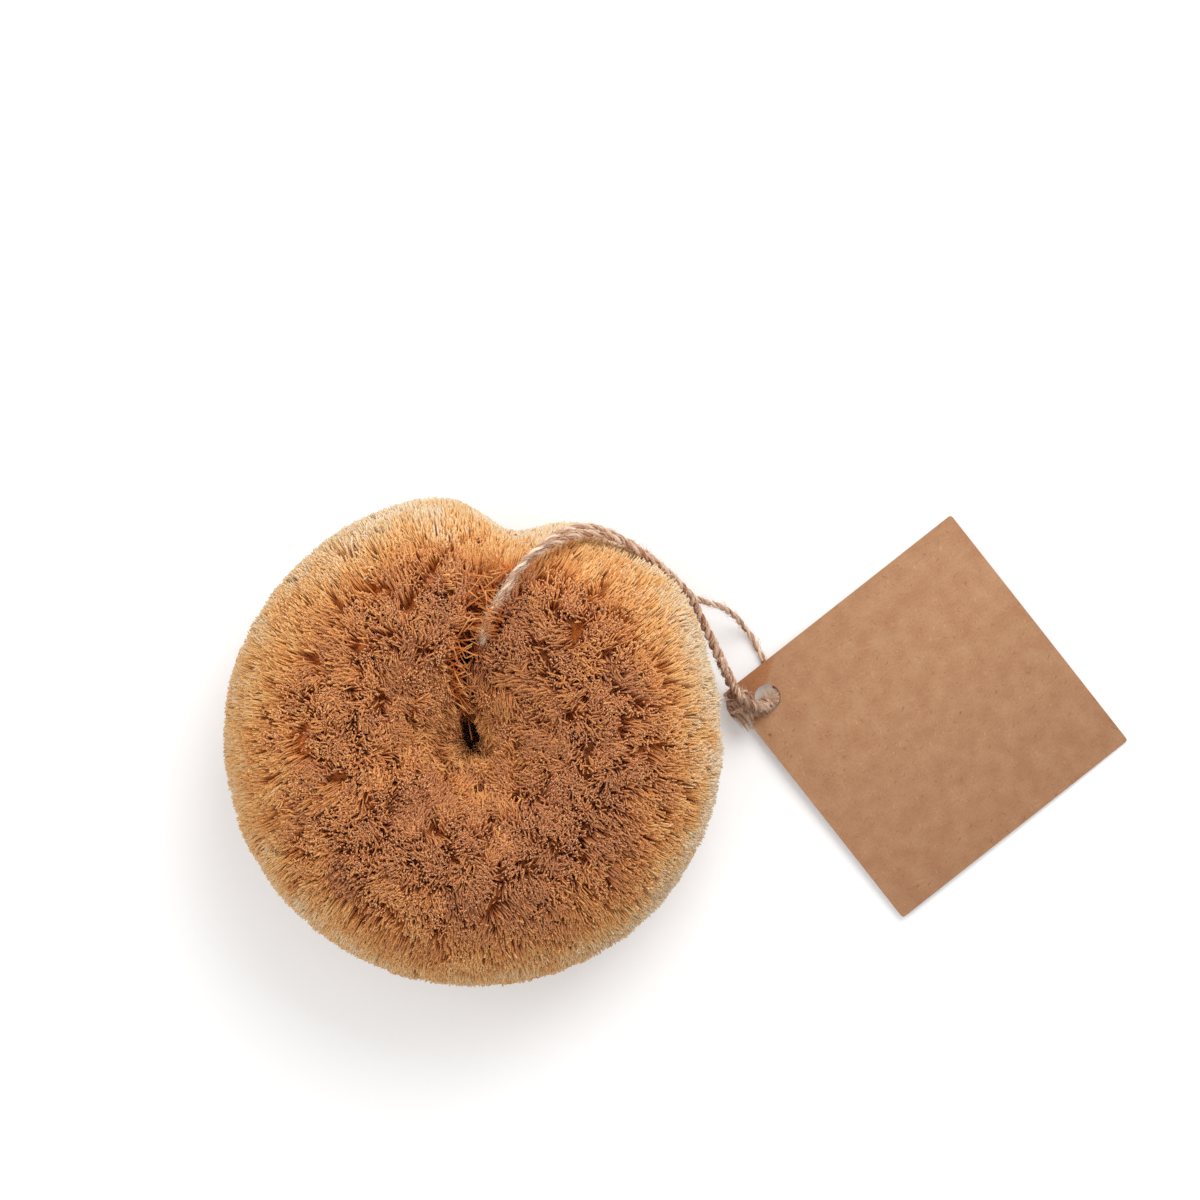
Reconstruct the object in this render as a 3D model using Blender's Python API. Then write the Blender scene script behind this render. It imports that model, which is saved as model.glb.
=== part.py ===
"""Round dish scrubber: a ring of coir bristles on a twisted wire core, with a twine loop and a card tag.

Lengths are in metres and +Z is up. The origin is in the middle of the ring, on the surface that
the brush lies on. The wire is folded in two. Its legs twist round each other inside the bristle
bundles, its fold is an eye in the seam of the ring, and one leg is hooked through that eye. The
twine passes through the same eye, lies over the shoulder of the brush and carries the tag.
"""

import math
import random

import bmesh
import bpy
from mathutils import Matrix, Vector
from mathutils.kdtree import KDTree

MM = 0.001
TURN = 2 * math.pi

# Ring of bristles. Reaches are measured from the core circle, on which the wire runs
RING_RADIUS = 23.0 * MM
TIP_REACH = 20.5 * MM
PACKED_REACH = 17.5 * MM
HOLE_RADIUS = 2.6 * MM
FLAT_CUT = 0.5 * MM
CUT_TOLERANCE = 0.0001 * MM
BUNDLE_COUNT = 20
BUNDLE_GAP = 0.3 * MM
ROWS = 12
COLUMNS = 2
INNER_PACKING = 3

# Strands, as shares of the patch of packed fibre that each grows from
KNEE_HEIGHT = 0.35
KNEE_SHARE = 0.62
TIP_SHARE_ALONG = 0.30
TIP_SHARE_AROUND = 0.24
TIP_WANDER = 0.15
SHORTEST_STRAND = 0.80
RANDOM_SEED = 5

# Seam, where the two ends of the ring meet
SEAM_ANGLE = math.radians(83.0)
SEAM_HALF_GAP = math.radians(2.95)
NOTCH_DEPTH = 0.22
NOTCH_HALF_WIDTH = math.radians(9.0)

# Core wire
WIRE_DIAMETER = 1.2 * MM
LEG_GAP = 0.7 * MM
WIRE_TURNS = 8.75
POINTS_PER_TURN = 9
WIRE_CLEARANCE = 0.4 * MM
NECK_LENGTH = 7.0 * MM
EYE_RADIUS = 2.8 * MM
EYE_STEPS = 16
HOOK_RADIUS = 1.75 * MM
HOOK_RETURN = 2.2 * MM
HOOK_STEPS = 8

# Twine
TWINE_DIAMETER = 1.2 * MM
TWINE_SPACING = 3.0 * MM
BIGHT_SPACING = 1.0 * MM
STRAND_GAP = 0.62 * MM
JOINT_GAP = 0.3 * MM
EYE_LEG_INSET = 1.1 * MM
EYE_LEG_RISE = 4.8 * MM
UNDER_EYE_RADIUS = 2.4 * MM
UNDER_EYE_STEPS = 6
ROUTE_STEPS = 16
KNOT_TURNS = 2.25
KNOT_PITCH = 1.7 * MM
KNOT_POINTS_PER_TURN = 24
KNOT_HEAD = 2.9 * MM
KNOT_TAIL = 3.9 * MM
TABLE_CLEARANCE = 0.05 * MM

# Tag
TAG_SIDE = 50.8 * MM
TAG_THICKNESS = 0.5 * MM
TAG_HOLE_DIAMETER = 4.6 * MM
TAG_HOLE_INSET = 7.5 * MM
TAG_HOLE_SIDES = 24
TAG_CORNER = (44.2 * MM, 8.25 * MM)
TAG_HEADING = math.radians(-6.8)

# Routes of the twine, in millimetres. The pair's route runs midway between its two strands
PAIR_ROUTE = (
    (2.3, 18.4, 31.0),
    (2.2, 17.9, 35.5),
    (2.4, 19.1, 39.8),
    (3.4, 22.2, 42.2),
    (6.2, 26.6, 42.6),
    (8.8, 30.5, 41.2),
    (12.7, 33.9, 38.9),
    (16.0, 35.7, 36.0),
    (20.3, 36.6, 32.2),
    (25.4, 35.1, 28.7),
    (30.7, 31.8, 24.8),
    (35.0, 28.2, 19.8),
    (37.7, 25.1, 16.2),
)
STRAND_ONE_ROUTE = (
    (39.5, 21.6, 13.2),
    (41.5, 17.6, 10.3),
    (43.4, 13.5, 7.6),
)
STRAND_TWO_ROUTE = (
    (40.2, 24.3, 12.6),
    (43.2, 23.4, 9.0),
    (45.4, 22.0, 5.4),
    (47.2, 20.2, 2.4),
    (48.7, 18.2, 0.9),
)
BIGHT_ROUTE = (
    (50.9, 14.2, 0.65),
    (52.2, 11.6, 0.65),
    (52.65, 9.76, 0.75),
    (52.45, 8.7, 1.15),
    (51.75, 7.6, 1.85),
    (50.7, 6.85, 2.6),
    (49.6, 6.1, 3.0),
    (48.5, 5.4, 3.12),
)
KNOT_CENTRE = (46.5, 6.6, 4.65)
KNOT_AXIS = (0.36, -0.93, 0.0)

CORE_HEIGHT = TIP_REACH - FLAT_CUT
WIRE_RADIUS = WIRE_DIAMETER / 2
TWIST_RADIUS = (WIRE_DIAMETER + LEG_GAP) / 2


def make_material(name, colour, roughness, metallic=0.0):
    material = bpy.data.materials.new(name)
    material.use_nodes = True
    shader = material.node_tree.nodes["Principled BSDF"]
    shader.inputs["Base Color"].default_value = (*colour, 1.0)
    shader.inputs["Roughness"].default_value = roughness
    shader.inputs["Metallic"].default_value = metallic
    return material


def add_object(name, data, material, parent=None):
    """Puts a mesh or curve, drawn in world coordinates, in the part's collection."""
    piece = bpy.data.objects.new(name, data)
    data.materials.append(material)
    bpy.data.collections["round_dish_scrubber"].objects.link(piece)
    if parent:
        piece.parent = parent
        piece.matrix_parent_inverse = parent.matrix_world.inverted()
    return piece


def add_axis(name, matrix, parent=None):
    """An empty on a joint's axis."""
    axis = bpy.data.objects.new(name, None)
    axis.empty_display_size = 5 * MM
    bpy.data.collections["round_dish_scrubber"].objects.link(axis)
    axis.matrix_world = matrix
    if parent:
        axis.parent = parent
        axis.matrix_parent_inverse = parent.matrix_world.inverted()
        axis.matrix_world = matrix
    bpy.context.view_layer.update()
    return axis


def ring_point(angle, along, out, up):
    """A point near the core circle: along its tangent, outwards and upwards from the angle's point."""
    radial = Vector((math.cos(angle), math.sin(angle), 0))
    tangent = Vector((-math.sin(angle), math.cos(angle), 0))
    return radial * (RING_RADIUS + out) + tangent * along + Vector((0, 0, CORE_HEIGHT + up))


def section_point(station, turn, reach):
    """A point of the section at a station, a pair of ring angle and shift along the tangent."""
    angle, shift = station
    return ring_point(angle, shift, reach * math.cos(turn), reach * math.sin(turn))


def fullness(angle):
    """How full the bristles stand at an angle past the seam. They give way at the notch."""
    past = min(angle, TURN - angle)
    return 1 - NOTCH_DEPTH * math.exp(-((past / NOTCH_HALF_WIDTH) ** 2))


def packed_reach(turn, angle):
    """Reach of the packed fibre. It fills the inside of the ring up to the hole."""
    inward = ((1 - math.cos(turn)) / 2) ** INNER_PACKING
    inner_reach = RING_RADIUS - HOLE_RADIUS
    return (PACKED_REACH + (inner_reach - PACKED_REACH) * inward) * fullness(angle)


def bundle_stations(index):
    """The angle past the seam and the station of each section of one bundle."""
    span = (TURN - 2 * SEAM_HALF_GAP) / BUNDLE_COUNT
    start = SEAM_HALF_GAP + index * span
    shifts = {0: BUNDLE_GAP / 2, COLUMNS: -BUNDLE_GAP / 2}
    pasts = [start + span * i / COLUMNS for i in range(COLUMNS + 1)]
    return [(past, (SEAM_ANGLE + past, shifts.get(i, 0))) for i, past in enumerate(pasts)]


def row_turn(index, section, row):
    """Angle round the section of a row's edge. Each section is half a row on from the last."""
    return TURN * (row - 0.5 + (index * COLUMNS + section) / 2) / ROWS


class Cell:
    """One patch of the packed surface, between two sections and two row edges."""

    def __init__(self, index, column, row, sections):
        self.ends = sections[column : column + 2]
        self.turns = [row_turn(index, column + i, row) for i in (0, 1)]

    def point(self, along, around, height):
        """A point over the patch: height is 0 on the packed fibre and 1 at a full strand's tip."""
        ends = []
        for (past, station), edge in zip(self.ends, self.turns):
            turn = edge + around * TURN / ROWS
            low = packed_reach(turn, past)
            high = TIP_REACH * fullness(past)
            ends.append(section_point(station, turn, low + (high - low) * height))
        return ends[0].lerp(ends[1], along)

    def middle_turn(self):
        return sum(self.turns) / 2 + TURN / ROWS / 2


def bore_radius(index, section):
    """Radius of the corners of the bore. It is wide where the eye and the hook lie."""
    plain = TWIST_RADIUS + WIRE_RADIUS + WIRE_CLEARANCE
    pocket = EYE_RADIUS + WIRE_RADIUS + WIRE_CLEARANCE
    at_eye = (index == 0 and section < COLUMNS) or (index == BUNDLE_COUNT - 1 and section > 0)
    return (pocket if at_eye else plain) / math.cos(math.pi / (ROWS / 2))


def loft(bm, rings):
    """Faces between rings of as many points. Returns them section by section."""
    count = len(rings[0])
    made = []
    for near, far in zip(rings, rings[1:]):
        for i in range(count):
            j = (i + 1) % count
            made.append(bm.faces.new((near[i], near[j], far[j], far[i])))
    return made


def grow_strand(bm, face, cell, random_source):
    """Draws a strand out of a face of the packed fibre, in one or two tapering lengths."""
    corners = {}
    for along in (0, 1):
        for around in (0, 1):
            corners[(along, around)] = cell.point(along, around, 0)
    downwards = math.sin(cell.middle_turn()) < -math.cos(TURN / ROWS)
    wander = [0.0, 0.0] if downwards else [random_source.uniform(-1, 1) for _ in range(2)]
    height = 1.0 if downwards else random_source.uniform(SHORTEST_STRAND, 1.0)
    tip = (height, TIP_SHARE_ALONG, TIP_SHARE_AROUND, TIP_WANDER)
    knee = (height * KNEE_HEIGHT, KNEE_SHARE, KNEE_SHARE, TIP_WANDER * KNEE_HEIGHT)
    order = []
    for vert in face.verts:
        order.append(min(corners, key=lambda corner: (corners[corner] - vert.co).length))
    for level, share_along, share_around, drift in [tip] if downwards else [knee, tip]:
        face = bmesh.ops.extrude_discrete_faces(bm, faces=[face])["faces"][0]
        for vert, (along, around) in zip(face.verts, order):
            across = 0.5 + (along - 0.5) * share_along + wander[0] * drift
            over = 0.5 + (around - 0.5) * share_around + wander[1] * drift
            vert.co = cell.point(across, over, level)


def cut_flat(bm):
    """Cuts the strands off where the brush rests, and closes them there."""
    everything = [*bm.verts, *bm.edges, *bm.faces]
    down = (0, 0, -1)
    bmesh.ops.bisect_plane(
        bm, geom=everything, dist=CUT_TOLERANCE, plane_co=(0, 0, 0), plane_no=down, clear_outer=True
    )
    open_edges = [edge for edge in bm.edges if edge.is_boundary]
    bmesh.ops.holes_fill(bm, edges=open_edges, sides=0)


def make_bundle(index, material):
    """One bundle: packed fibre with a bore for the core, fanning out into strands."""
    random_source = random.Random(RANDOM_SEED + index)
    sections = bundle_stations(index)
    bm = bmesh.new()
    skin, bore = [], []
    for i, (past, station) in enumerate(sections):
        turns = [row_turn(index, i, row) for row in range(ROWS)]
        skin.append(
            [bm.verts.new(section_point(station, turn, packed_reach(turn, past))) for turn in turns]
        )
        radius = bore_radius(index, i)
        bore.append([bm.verts.new(section_point(station, turn, radius)) for turn in turns[::2]])
    patches = loft(bm, skin)
    loft(bm, bore)
    for outer, inner in ((skin[0], bore[0]), (skin[-1], bore[-1])):
        edges = [bm.edges.get(pair) for ring in (outer, inner) for pair in zip(ring, ring[-1:] + ring)]
        bmesh.ops.triangle_fill(bm, use_beauty=True, edges=edges)
    for number, face in enumerate(patches):
        column, row = divmod(number, ROWS)
        cell = Cell(index, column, row, sections)
        inwards = -math.cos(cell.middle_turn()) > math.cos(TURN / ROWS / 2)
        if not inwards:
            grow_strand(bm, face, cell, random_source)
    cut_flat(bm)
    bmesh.ops.recalc_face_normals(bm, faces=bm.faces)
    mesh = bpy.data.meshes.new(f"bristle_bundle_{index + 1:02d}")
    bm.to_mesh(mesh)
    bm.free()
    return add_object(mesh.name, mesh, material)


def smooth_route(points, spacing):
    """Evenly spaced points on a smooth curve through a route's own points."""
    points = [Vector(point) for point in points]
    ends = [2 * points[0] - points[1], *points, 2 * points[-1] - points[-2]]
    fine = []
    for before, start, end, after in zip(ends, ends[1:], ends[2:], ends[3:]):
        for step in range(ROUTE_STEPS):
            t = step / ROUTE_STEPS
            fine.append(
                0.5
                * (
                    2 * start
                    + (end - before) * t
                    + (2 * before - 5 * start + 4 * end - after) * t**2
                    + (3 * start - before - 3 * end + after) * t**3
                )
            )
    fine.append(points[-1])
    return even_points(fine, spacing)


def even_points(fine, spacing):
    """The same line with points the same distance apart."""
    lengths = [(b - a).length for a, b in zip(fine, fine[1:])]
    count = max(2, round(sum(lengths) / spacing))
    step = sum(lengths) / count
    even, walked, wanted = [fine[0].copy()], 0.0, step
    for a, b, length in zip(fine, fine[1:], lengths):
        while wanted <= walked + length and len(even) < count:
            even.append(a.lerp(b, (wanted - walked) / length))
            wanted += step
        walked += length
    even.append(fine[-1].copy())
    return even


def shortened(points, start=0.0, end=0.0):
    """A line with a length taken off its start and its end."""
    for turn, cut in enumerate((start, end)):
        if cut:
            while (points[1] - points[0]).length <= cut:
                cut -= (points[1] - points[0]).length
                points = points[1:]
            points = [points[0] + (points[1] - points[0]).normalized() * cut, *points[1:]]
        points = points[::-1]
    return points


def route_length(points):
    return sum((b - a).length for a, b in zip(points, points[1:]))


def least_gap(points, diameter):
    """The least gap of a tube to itself, apart from the next few diameters of its own run."""
    points_per_diameter = 4
    own_run = 2.5 * points_per_diameter
    fine = even_points(points, diameter / points_per_diameter)
    tree = KDTree(len(fine))
    for i, point in enumerate(fine):
        tree.insert(point, i)
    tree.balance()
    least = 3 * diameter
    for i, point in enumerate(fine):
        for _, j, distance in tree.find_range(point, least):
            if abs(i - j) > own_run:
                least = min(least, distance)
    return least - diameter


def add_tube(name, points, diameter, sides_resolution, material, parent=None):
    """A round tube along a line, closed at both ends."""
    curve = bpy.data.curves.new(name, "CURVE")
    curve.dimensions = "3D"
    curve.bevel_depth = diameter / 2
    curve.bevel_resolution = sides_resolution
    curve.use_fill_caps = True
    spline = curve.splines.new("POLY")
    spline.points.add(len(points) - 1)
    for target, point in zip(spline.points, points):
        target.co = (*point, 1.0)
    return add_object(name, curve, material, parent)


def leg_points(leg):
    """One leg of the wire, from beside the eye round to the other end of the ring."""
    start = NECK_LENGTH / RING_RADIUS
    span = TURN - 2 * start
    count = round(WIRE_TURNS * POINTS_PER_TURN)
    points = []
    for i in range(count + 1):
        share = i / count
        turn = TURN * (WIRE_TURNS * share + leg / 2)
        angle = SEAM_ANGLE + start + span * share
        points.append(ring_point(angle, 0, TWIST_RADIUS * math.cos(turn), TWIST_RADIUS * math.sin(turn)))
    return points


def eye_points():
    """The fold of the wire: a round eye in the seam, lying flat, with a neck to each leg."""
    touch = math.acos((EYE_RADIUS - TWIST_RADIUS) / NECK_LENGTH)
    points = []
    for i in range(EYE_STEPS + 1):
        turn = touch + (TURN - 2 * touch) * i / EYE_STEPS
        points.append(
            ring_point(SEAM_ANGLE, EYE_RADIUS * math.cos(turn), EYE_RADIUS * math.sin(turn), 0)
        )
    return points


def hook_points():
    """One leg's end: over the far side of the eye, down through it and back underneath."""
    far = -EYE_RADIUS
    points = [ring_point(SEAM_ANGLE, far - HOOK_RETURN, 0, HOOK_RADIUS)]
    for i in range(HOOK_STEPS + 1):
        turn = TURN / 4 - TURN / 2 * i / HOOK_STEPS
        points.append(
            ring_point(SEAM_ANGLE, far + HOOK_RADIUS * math.cos(turn), 0, HOOK_RADIUS * math.sin(turn))
        )
    points.append(ring_point(SEAM_ANGLE, far - HOOK_RETURN, 0, -HOOK_RADIUS))
    return points


def make_core_wire(material):
    """The whole wire, cut end to cut end: leg, eye, leg, hook."""
    points = leg_points(0)[::-1] + eye_points() + leg_points(1) + hook_points()
    print(f"core wire {route_length(points) / MM:.0f} mm long")
    print(f"core wire, least gap to itself {least_gap(points, WIRE_DIAMETER) / MM:.2f} mm")
    return add_tube("core_wire", points, WIRE_DIAMETER, 1, material)


def in_metres(route):
    return [Vector(point) * MM for point in route]


def pair_strands():
    """The two strands that run together from the seam over the shoulder of the brush.

    They part in the plane of the seam at its mouth and lie one over the other at the end.
    """
    middle = smooth_route(in_metres(PAIR_ROUTE), TWINE_SPACING)
    half_apart = (TWINE_DIAMETER + STRAND_GAP) / 2
    strands = [], []
    for i, point in enumerate(middle):
        along = (middle[min(i + 1, len(middle) - 1)] - middle[max(i - 1, 0)]).normalized()
        angle = math.atan2(point.y, point.x)
        outwards = point - ring_point(angle, 0, 0, 0)
        outwards = (outwards - outwards.dot(along) * along).normalized()
        sideways = along.cross(outwards)
        turn = -TURN / 4 * i / (len(middle) - 1)
        offset = (outwards * math.cos(turn) + sideways * math.sin(turn)) * half_apart
        strands[0].append(point - offset)
        strands[1].append(point + offset)
    return strands


def eye_turn_points():
    """The twine's way down through the wire's eye, round under its inner side and up again."""
    middle = -EYE_LEG_INSET - UNDER_EYE_RADIUS
    points = [ring_point(SEAM_ANGLE, 0, -EYE_LEG_INSET, EYE_LEG_RISE)]
    for i in range(UNDER_EYE_STEPS + 1):
        turn = -TURN / 2 * i / UNDER_EYE_STEPS
        points.append(
            ring_point(
                SEAM_ANGLE,
                0,
                middle + UNDER_EYE_RADIUS * math.cos(turn),
                UNDER_EYE_RADIUS * math.sin(turn),
            )
        )
    points.append(ring_point(SEAM_ANGLE, 0, middle - UNDER_EYE_RADIUS, EYE_LEG_RISE))
    return points


def knot_point(along, turn=None):
    """A point on the knot's axis, or on the coil round it at a turn."""
    axis = Vector(KNOT_AXIS).normalized()
    point = Vector(KNOT_CENTRE) * MM + axis * along
    if turn is None:
        return point
    side = axis.cross(Vector((0, 0, 1))).normalized()
    up = side.cross(axis)
    radius = TWINE_DIAMETER + JOINT_GAP
    return point + (side * math.cos(turn) + up * math.sin(turn)) * radius


def knot_coil():
    """The coil that the twine's other end makes round the first, from below it."""
    count = round(KNOT_TURNS * KNOT_POINTS_PER_TURN)
    points = []
    for i in range(count + 1):
        turn = -TURN / 4 + TURN * KNOT_TURNS * i / count
        along = KNOT_PITCH * KNOT_TURNS * (0.5 - i / count)
        points.append(knot_point(along, turn))
    return points


def make_twine(material, lift_axis):
    """The hanging loop, and on the tag's side of the joint its last turn, its knot and its end."""
    one, two = pair_strands()
    route = [
        knot_point(-KNOT_HEAD),
        *in_metres(STRAND_ONE_ROUTE[::-1]),
        *one[::-1],
        *eye_turn_points(),
        *two,
        *in_metres(STRAND_TWO_ROUTE),
        Vector(BIGHT_ROUTE[0]) * MM,
    ]
    loop = shortened(smooth_route(route, TWINE_SPACING), JOINT_GAP, JOINT_GAP)
    bight = smooth_route(in_metres(BIGHT_ROUTE) + knot_coil()[:1], BIGHT_SPACING)
    bight = shortened(bight, 0, JOINT_GAP)
    tail = [knot_point(along) for along in (-KNOT_HEAD, 0, KNOT_TAIL)]
    add_tube("twine_loop", loop, TWINE_DIAMETER, 2, material)
    add_tube("twine_bight", bight, TWINE_DIAMETER, 2, material, lift_axis)
    add_tube("twine_tail", tail, TWINE_DIAMETER, 2, material, lift_axis)
    add_tube("twine_knot", knot_coil(), TWINE_DIAMETER, 1, material, lift_axis)
    print(f"twine loop {route_length(loop) / MM:.0f} mm, {len(loop)} points")
    print(f"twine loop, least gap to itself {least_gap(loop, TWINE_DIAMETER) / MM:.2f} mm")
    print(f"knot, least gap to itself {least_gap(knot_coil(), TWINE_DIAMETER) / MM:.2f} mm")


def tag_frame():
    """Frame of the tag's lower face at its near corner: X along its diagonal, Z off the card."""
    lifted = TWINE_DIAMETER + TABLE_CLEARANCE + JOINT_GAP
    diagonal = TAG_SIDE * math.sqrt(2)
    slope = math.asin(lifted / (diagonal - TAG_HOLE_INSET))
    corner = Vector((*TAG_CORNER, diagonal * math.sin(slope)))
    turned = Matrix.Rotation(TAG_HEADING, 4, "Z") @ Matrix.Rotation(slope, 4, "Y")
    return Matrix.Translation(corner) @ turned


def make_tag(material, turn_axis):
    """A square card with a round hole near one corner."""
    half = TAG_SIDE / math.sqrt(2)
    curve = bpy.data.curves.new("tag", "CURVE")
    curve.dimensions = "2D"
    curve.fill_mode = "BOTH"
    curve.extrude = TAG_THICKNESS / 2
    square = [(0, 0), (half, -half), (2 * half, 0), (half, half)]
    hole = []
    for i in range(TAG_HOLE_SIDES):
        turn = TURN * i / TAG_HOLE_SIDES
        x = TAG_HOLE_INSET + TAG_HOLE_DIAMETER / 2 * math.cos(turn)
        y = TAG_HOLE_DIAMETER / 2 * math.sin(turn)
        hole.append((x, y))
    for outline in (square, hole):
        spline = curve.splines.new("POLY")
        spline.points.add(len(outline) - 1)
        for target, (x, y) in zip(spline.points, outline):
            target.co = (x, y, 0, 1.0)
        spline.use_cyclic_u = True
    tag = add_object("tag", curve, material)
    tag.matrix_world = tag_frame() @ Matrix.Translation((0, 0, TAG_THICKNESS / 2))
    bpy.context.view_layer.update()
    tag.parent = turn_axis
    tag.matrix_parent_inverse = turn_axis.matrix_world.inverted()
    return tag


def main():
    for old in list(bpy.data.objects):
        bpy.data.objects.remove(old)
    collection = bpy.data.collections.new("round_dish_scrubber")
    bpy.context.scene.collection.children.link(collection)
    coir = make_material("coir", (0.58, 0.30, 0.12), 0.8)
    wire = make_material("galvanised_wire", (0.56, 0.57, 0.58), 0.4, 1.0)
    twine = make_material("jute_twine", (0.50, 0.31, 0.20), 0.9)
    kraft = make_material("kraft_card", (0.55, 0.27, 0.14), 0.75)

    for index in range(BUNDLE_COUNT):
        make_bundle(index, coir)
    make_core_wire(wire)
    frame = tag_frame()
    lift_axis = add_axis("tag_lift_axis", frame)
    turn_axis = add_axis("tag_turn_axis", frame @ Matrix.Translation((TAG_HOLE_INSET, 0, 0)), lift_axis)
    make_twine(twine, lift_axis)
    make_tag(kraft, turn_axis)


main()
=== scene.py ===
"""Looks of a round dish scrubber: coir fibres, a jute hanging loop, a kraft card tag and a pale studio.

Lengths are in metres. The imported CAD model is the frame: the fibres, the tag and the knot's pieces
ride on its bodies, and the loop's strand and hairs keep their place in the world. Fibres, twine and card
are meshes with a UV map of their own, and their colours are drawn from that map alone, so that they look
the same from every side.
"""

import math

import bpy
import numpy as np
from mathutils import Matrix, Vector, geometry
from mathutils.kdtree import KDTree


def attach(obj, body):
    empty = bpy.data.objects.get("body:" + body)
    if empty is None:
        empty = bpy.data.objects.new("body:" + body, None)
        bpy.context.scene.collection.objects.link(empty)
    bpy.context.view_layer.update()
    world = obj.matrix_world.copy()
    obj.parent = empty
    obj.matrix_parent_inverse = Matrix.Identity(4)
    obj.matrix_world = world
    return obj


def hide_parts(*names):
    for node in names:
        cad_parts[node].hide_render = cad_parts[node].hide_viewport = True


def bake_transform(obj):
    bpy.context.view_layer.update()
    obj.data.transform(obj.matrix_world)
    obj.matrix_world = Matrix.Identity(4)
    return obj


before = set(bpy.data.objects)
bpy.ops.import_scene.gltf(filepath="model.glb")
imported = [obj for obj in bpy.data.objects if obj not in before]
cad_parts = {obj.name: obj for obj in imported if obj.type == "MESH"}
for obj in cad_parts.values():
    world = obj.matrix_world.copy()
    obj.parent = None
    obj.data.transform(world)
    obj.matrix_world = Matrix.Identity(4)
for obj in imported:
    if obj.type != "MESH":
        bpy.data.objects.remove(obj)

MM = 0.001
TURN = 2 * math.pi
SEED = 11
UV_NAME = "OFBake"

# Ring of fibre, with the values of the CAD part
RING_RADIUS = 23.0 * MM
TIP_REACH = 20.5 * MM
CORE_HEIGHT = 20.0 * MM
BUNDLE_COUNT = 20
SEAM_ANGLE = math.radians(83.0)
SEAM_HALF_GAP = math.radians(0.1)
BUNDLE_SPAN = (TURN - 2 * SEAM_HALF_GAP) / BUNDLE_COUNT
NOTCH_DEPTH = 0.3
NOTCH_HALF_WIDTH = math.radians(11.5)
NOTCH_LEAN = math.radians(3.5)
WORN_ANGLE = math.radians(262.0)
WORN_SPREAD = math.radians(55.0)
WORN_DEPTH = 0.055
SHOULDER_ANGLE = math.radians(38.0)
SHOULDER_SPREAD = math.radians(14.0)
SHOULDER_RISE = 0.075

# Fibres
FIBRES_PER_BUNDLE = 6000
FIBRE_RADIUS = 0.17 * MM
FIBRE_SIDES = 3
FIBRE_STEPS = (0.0, 0.4, 0.72, 1.0)
ROOT_REACH = 13.5 * MM
PACKED_REACH = 16.3 * MM
TIP_LEAN = 0.9 * MM
COMB_LEAN = 1.8 * MM
COMB_TURN = math.radians(50.0)
COMB_SPREAD = math.radians(38.0)
FLOOR_GAP = 0.15 * MM
TUFT_COUNT = 2000
TUFT_PULL = (0.0, 0.45)
TUFT_LEAN = 1.6 * MM
LAID_SHARE = 0.36
LAID_LEAN = 2.2
MOST_LEAN = 4.5 * MM
LAID_DROP = 0.7 * MM
TONES = 16
SHADES = 8
PACKED_TONE = 5
SIDE_TOP = 0.94
CUT_FROM = 0.95
# Painted light: the directions in which the rim is painted brighter, at its right side and its upper
# lobe
PAINTED_LIGHT_ANGLE = math.radians(10.0)
PAINTED_LOBE_ANGLE = math.radians(105.0)
TWINE_ANGLE = math.radians(66.0)

# The hole in the ring's middle, and the bend of the seam towards it
HOLE_CENTRE = Vector((-0.5, 2.4)) * MM
HOLE_HALF_WIDTHS = (1.0 * MM, 2.9 * MM)
HOLE_HEADING = math.radians(35.0)
HOLE_DEPTH = 11.0 * MM
CROSSING_TURNS = (math.radians(199.0), math.radians(215.0))
SEAM_BEND = 4.2 * MM
SEAM_BEND_RADIUS = 13.0 * MM
SEAM_BEND_REACH = 9.0 * MM
SEAM_BEND_SPREAD = 7.0 * MM
PIT_DEPTH = 0.24
PIT_HALF_WIDTH = math.radians(4.5)
SLIT_HALF_WIDTH = 1.3 * MM
PIT_RADII = (19.0 * MM, 13.0 * MM)
PIT_SIZE = 2.6 * MM
SLIT_TURNS = (math.radians(75.0), math.radians(190.0))
STRAY_COUNT = 150
COVER_COUNT = 90

# Twine. The routes are those of the CAD part
TWINE_DIAMETER = 1.2 * MM
TWINE_STEP = 0.2 * MM
STRAND_GAP = 0.15 * MM
UPRIGHT_FROM = 0.2
PAIR_TURNS = ((0, 0.14, 0.4, 0.54, 0.68, 1), (0, -12, -22, -90, -158, -180))
SEAM_SINK = 1.2 * MM
SEAM_SINK_REACH = 9.0 * MM
TWINE_LAY = 4.2 * MM
PLY_RADIUS = 0.27
PLY_SIDES = 8
PLY_MAP_LENGTH = 20.0 * MM
WISP_RADIUS = 0.07 * MM
HAIR_RADIUS = 0.035 * MM
EYE_LEG_INSET = 1.1 * MM
EYE_LEG_RISE = 4.8 * MM
UNDER_EYE_RADIUS = 2.4 * MM
JOINT_GAP = 0.3 * MM
KNOT_TWINE = TWINE_DIAMETER * 1.15
KNOT_TURNS = 2.25
KNOT_PITCH = 1.7 * MM
KNOT_HEAD = 2.9 * MM
KNOT_TAIL = 3.9 * MM
PAIR_ROUTE = np.array([
    (2.3, 18.4, 31.0),
    (2.2, 17.9, 35.5),
    (2.4, 19.1, 39.8),
    (3.4, 22.2, 42.2),
    (6.2, 26.6, 42.6),
    (8.8, 30.5, 41.2),
    (12.7, 33.9, 38.9),
    (16.0, 35.7, 36.0),
    (20.3, 36.6, 32.2),
    (25.4, 35.1, 28.7),
    (30.7, 31.8, 24.8),
    (35.0, 28.2, 19.8),
    (37.7, 25.1, 16.2),
]) * MM
STRAND_ONE_ROUTE = np.array([
    (39.5, 21.6, 13.2),
    (41.5, 17.6, 10.3),
    (43.4, 13.5, 7.6),
]) * MM
STRAND_TWO_ROUTE = np.array([
    (40.2, 24.3, 12.6),
    (43.2, 23.4, 9.0),
    (45.4, 22.0, 5.4),
    (47.2, 20.2, 2.4),
    (48.7, 18.2, 0.9),
]) * MM
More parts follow.
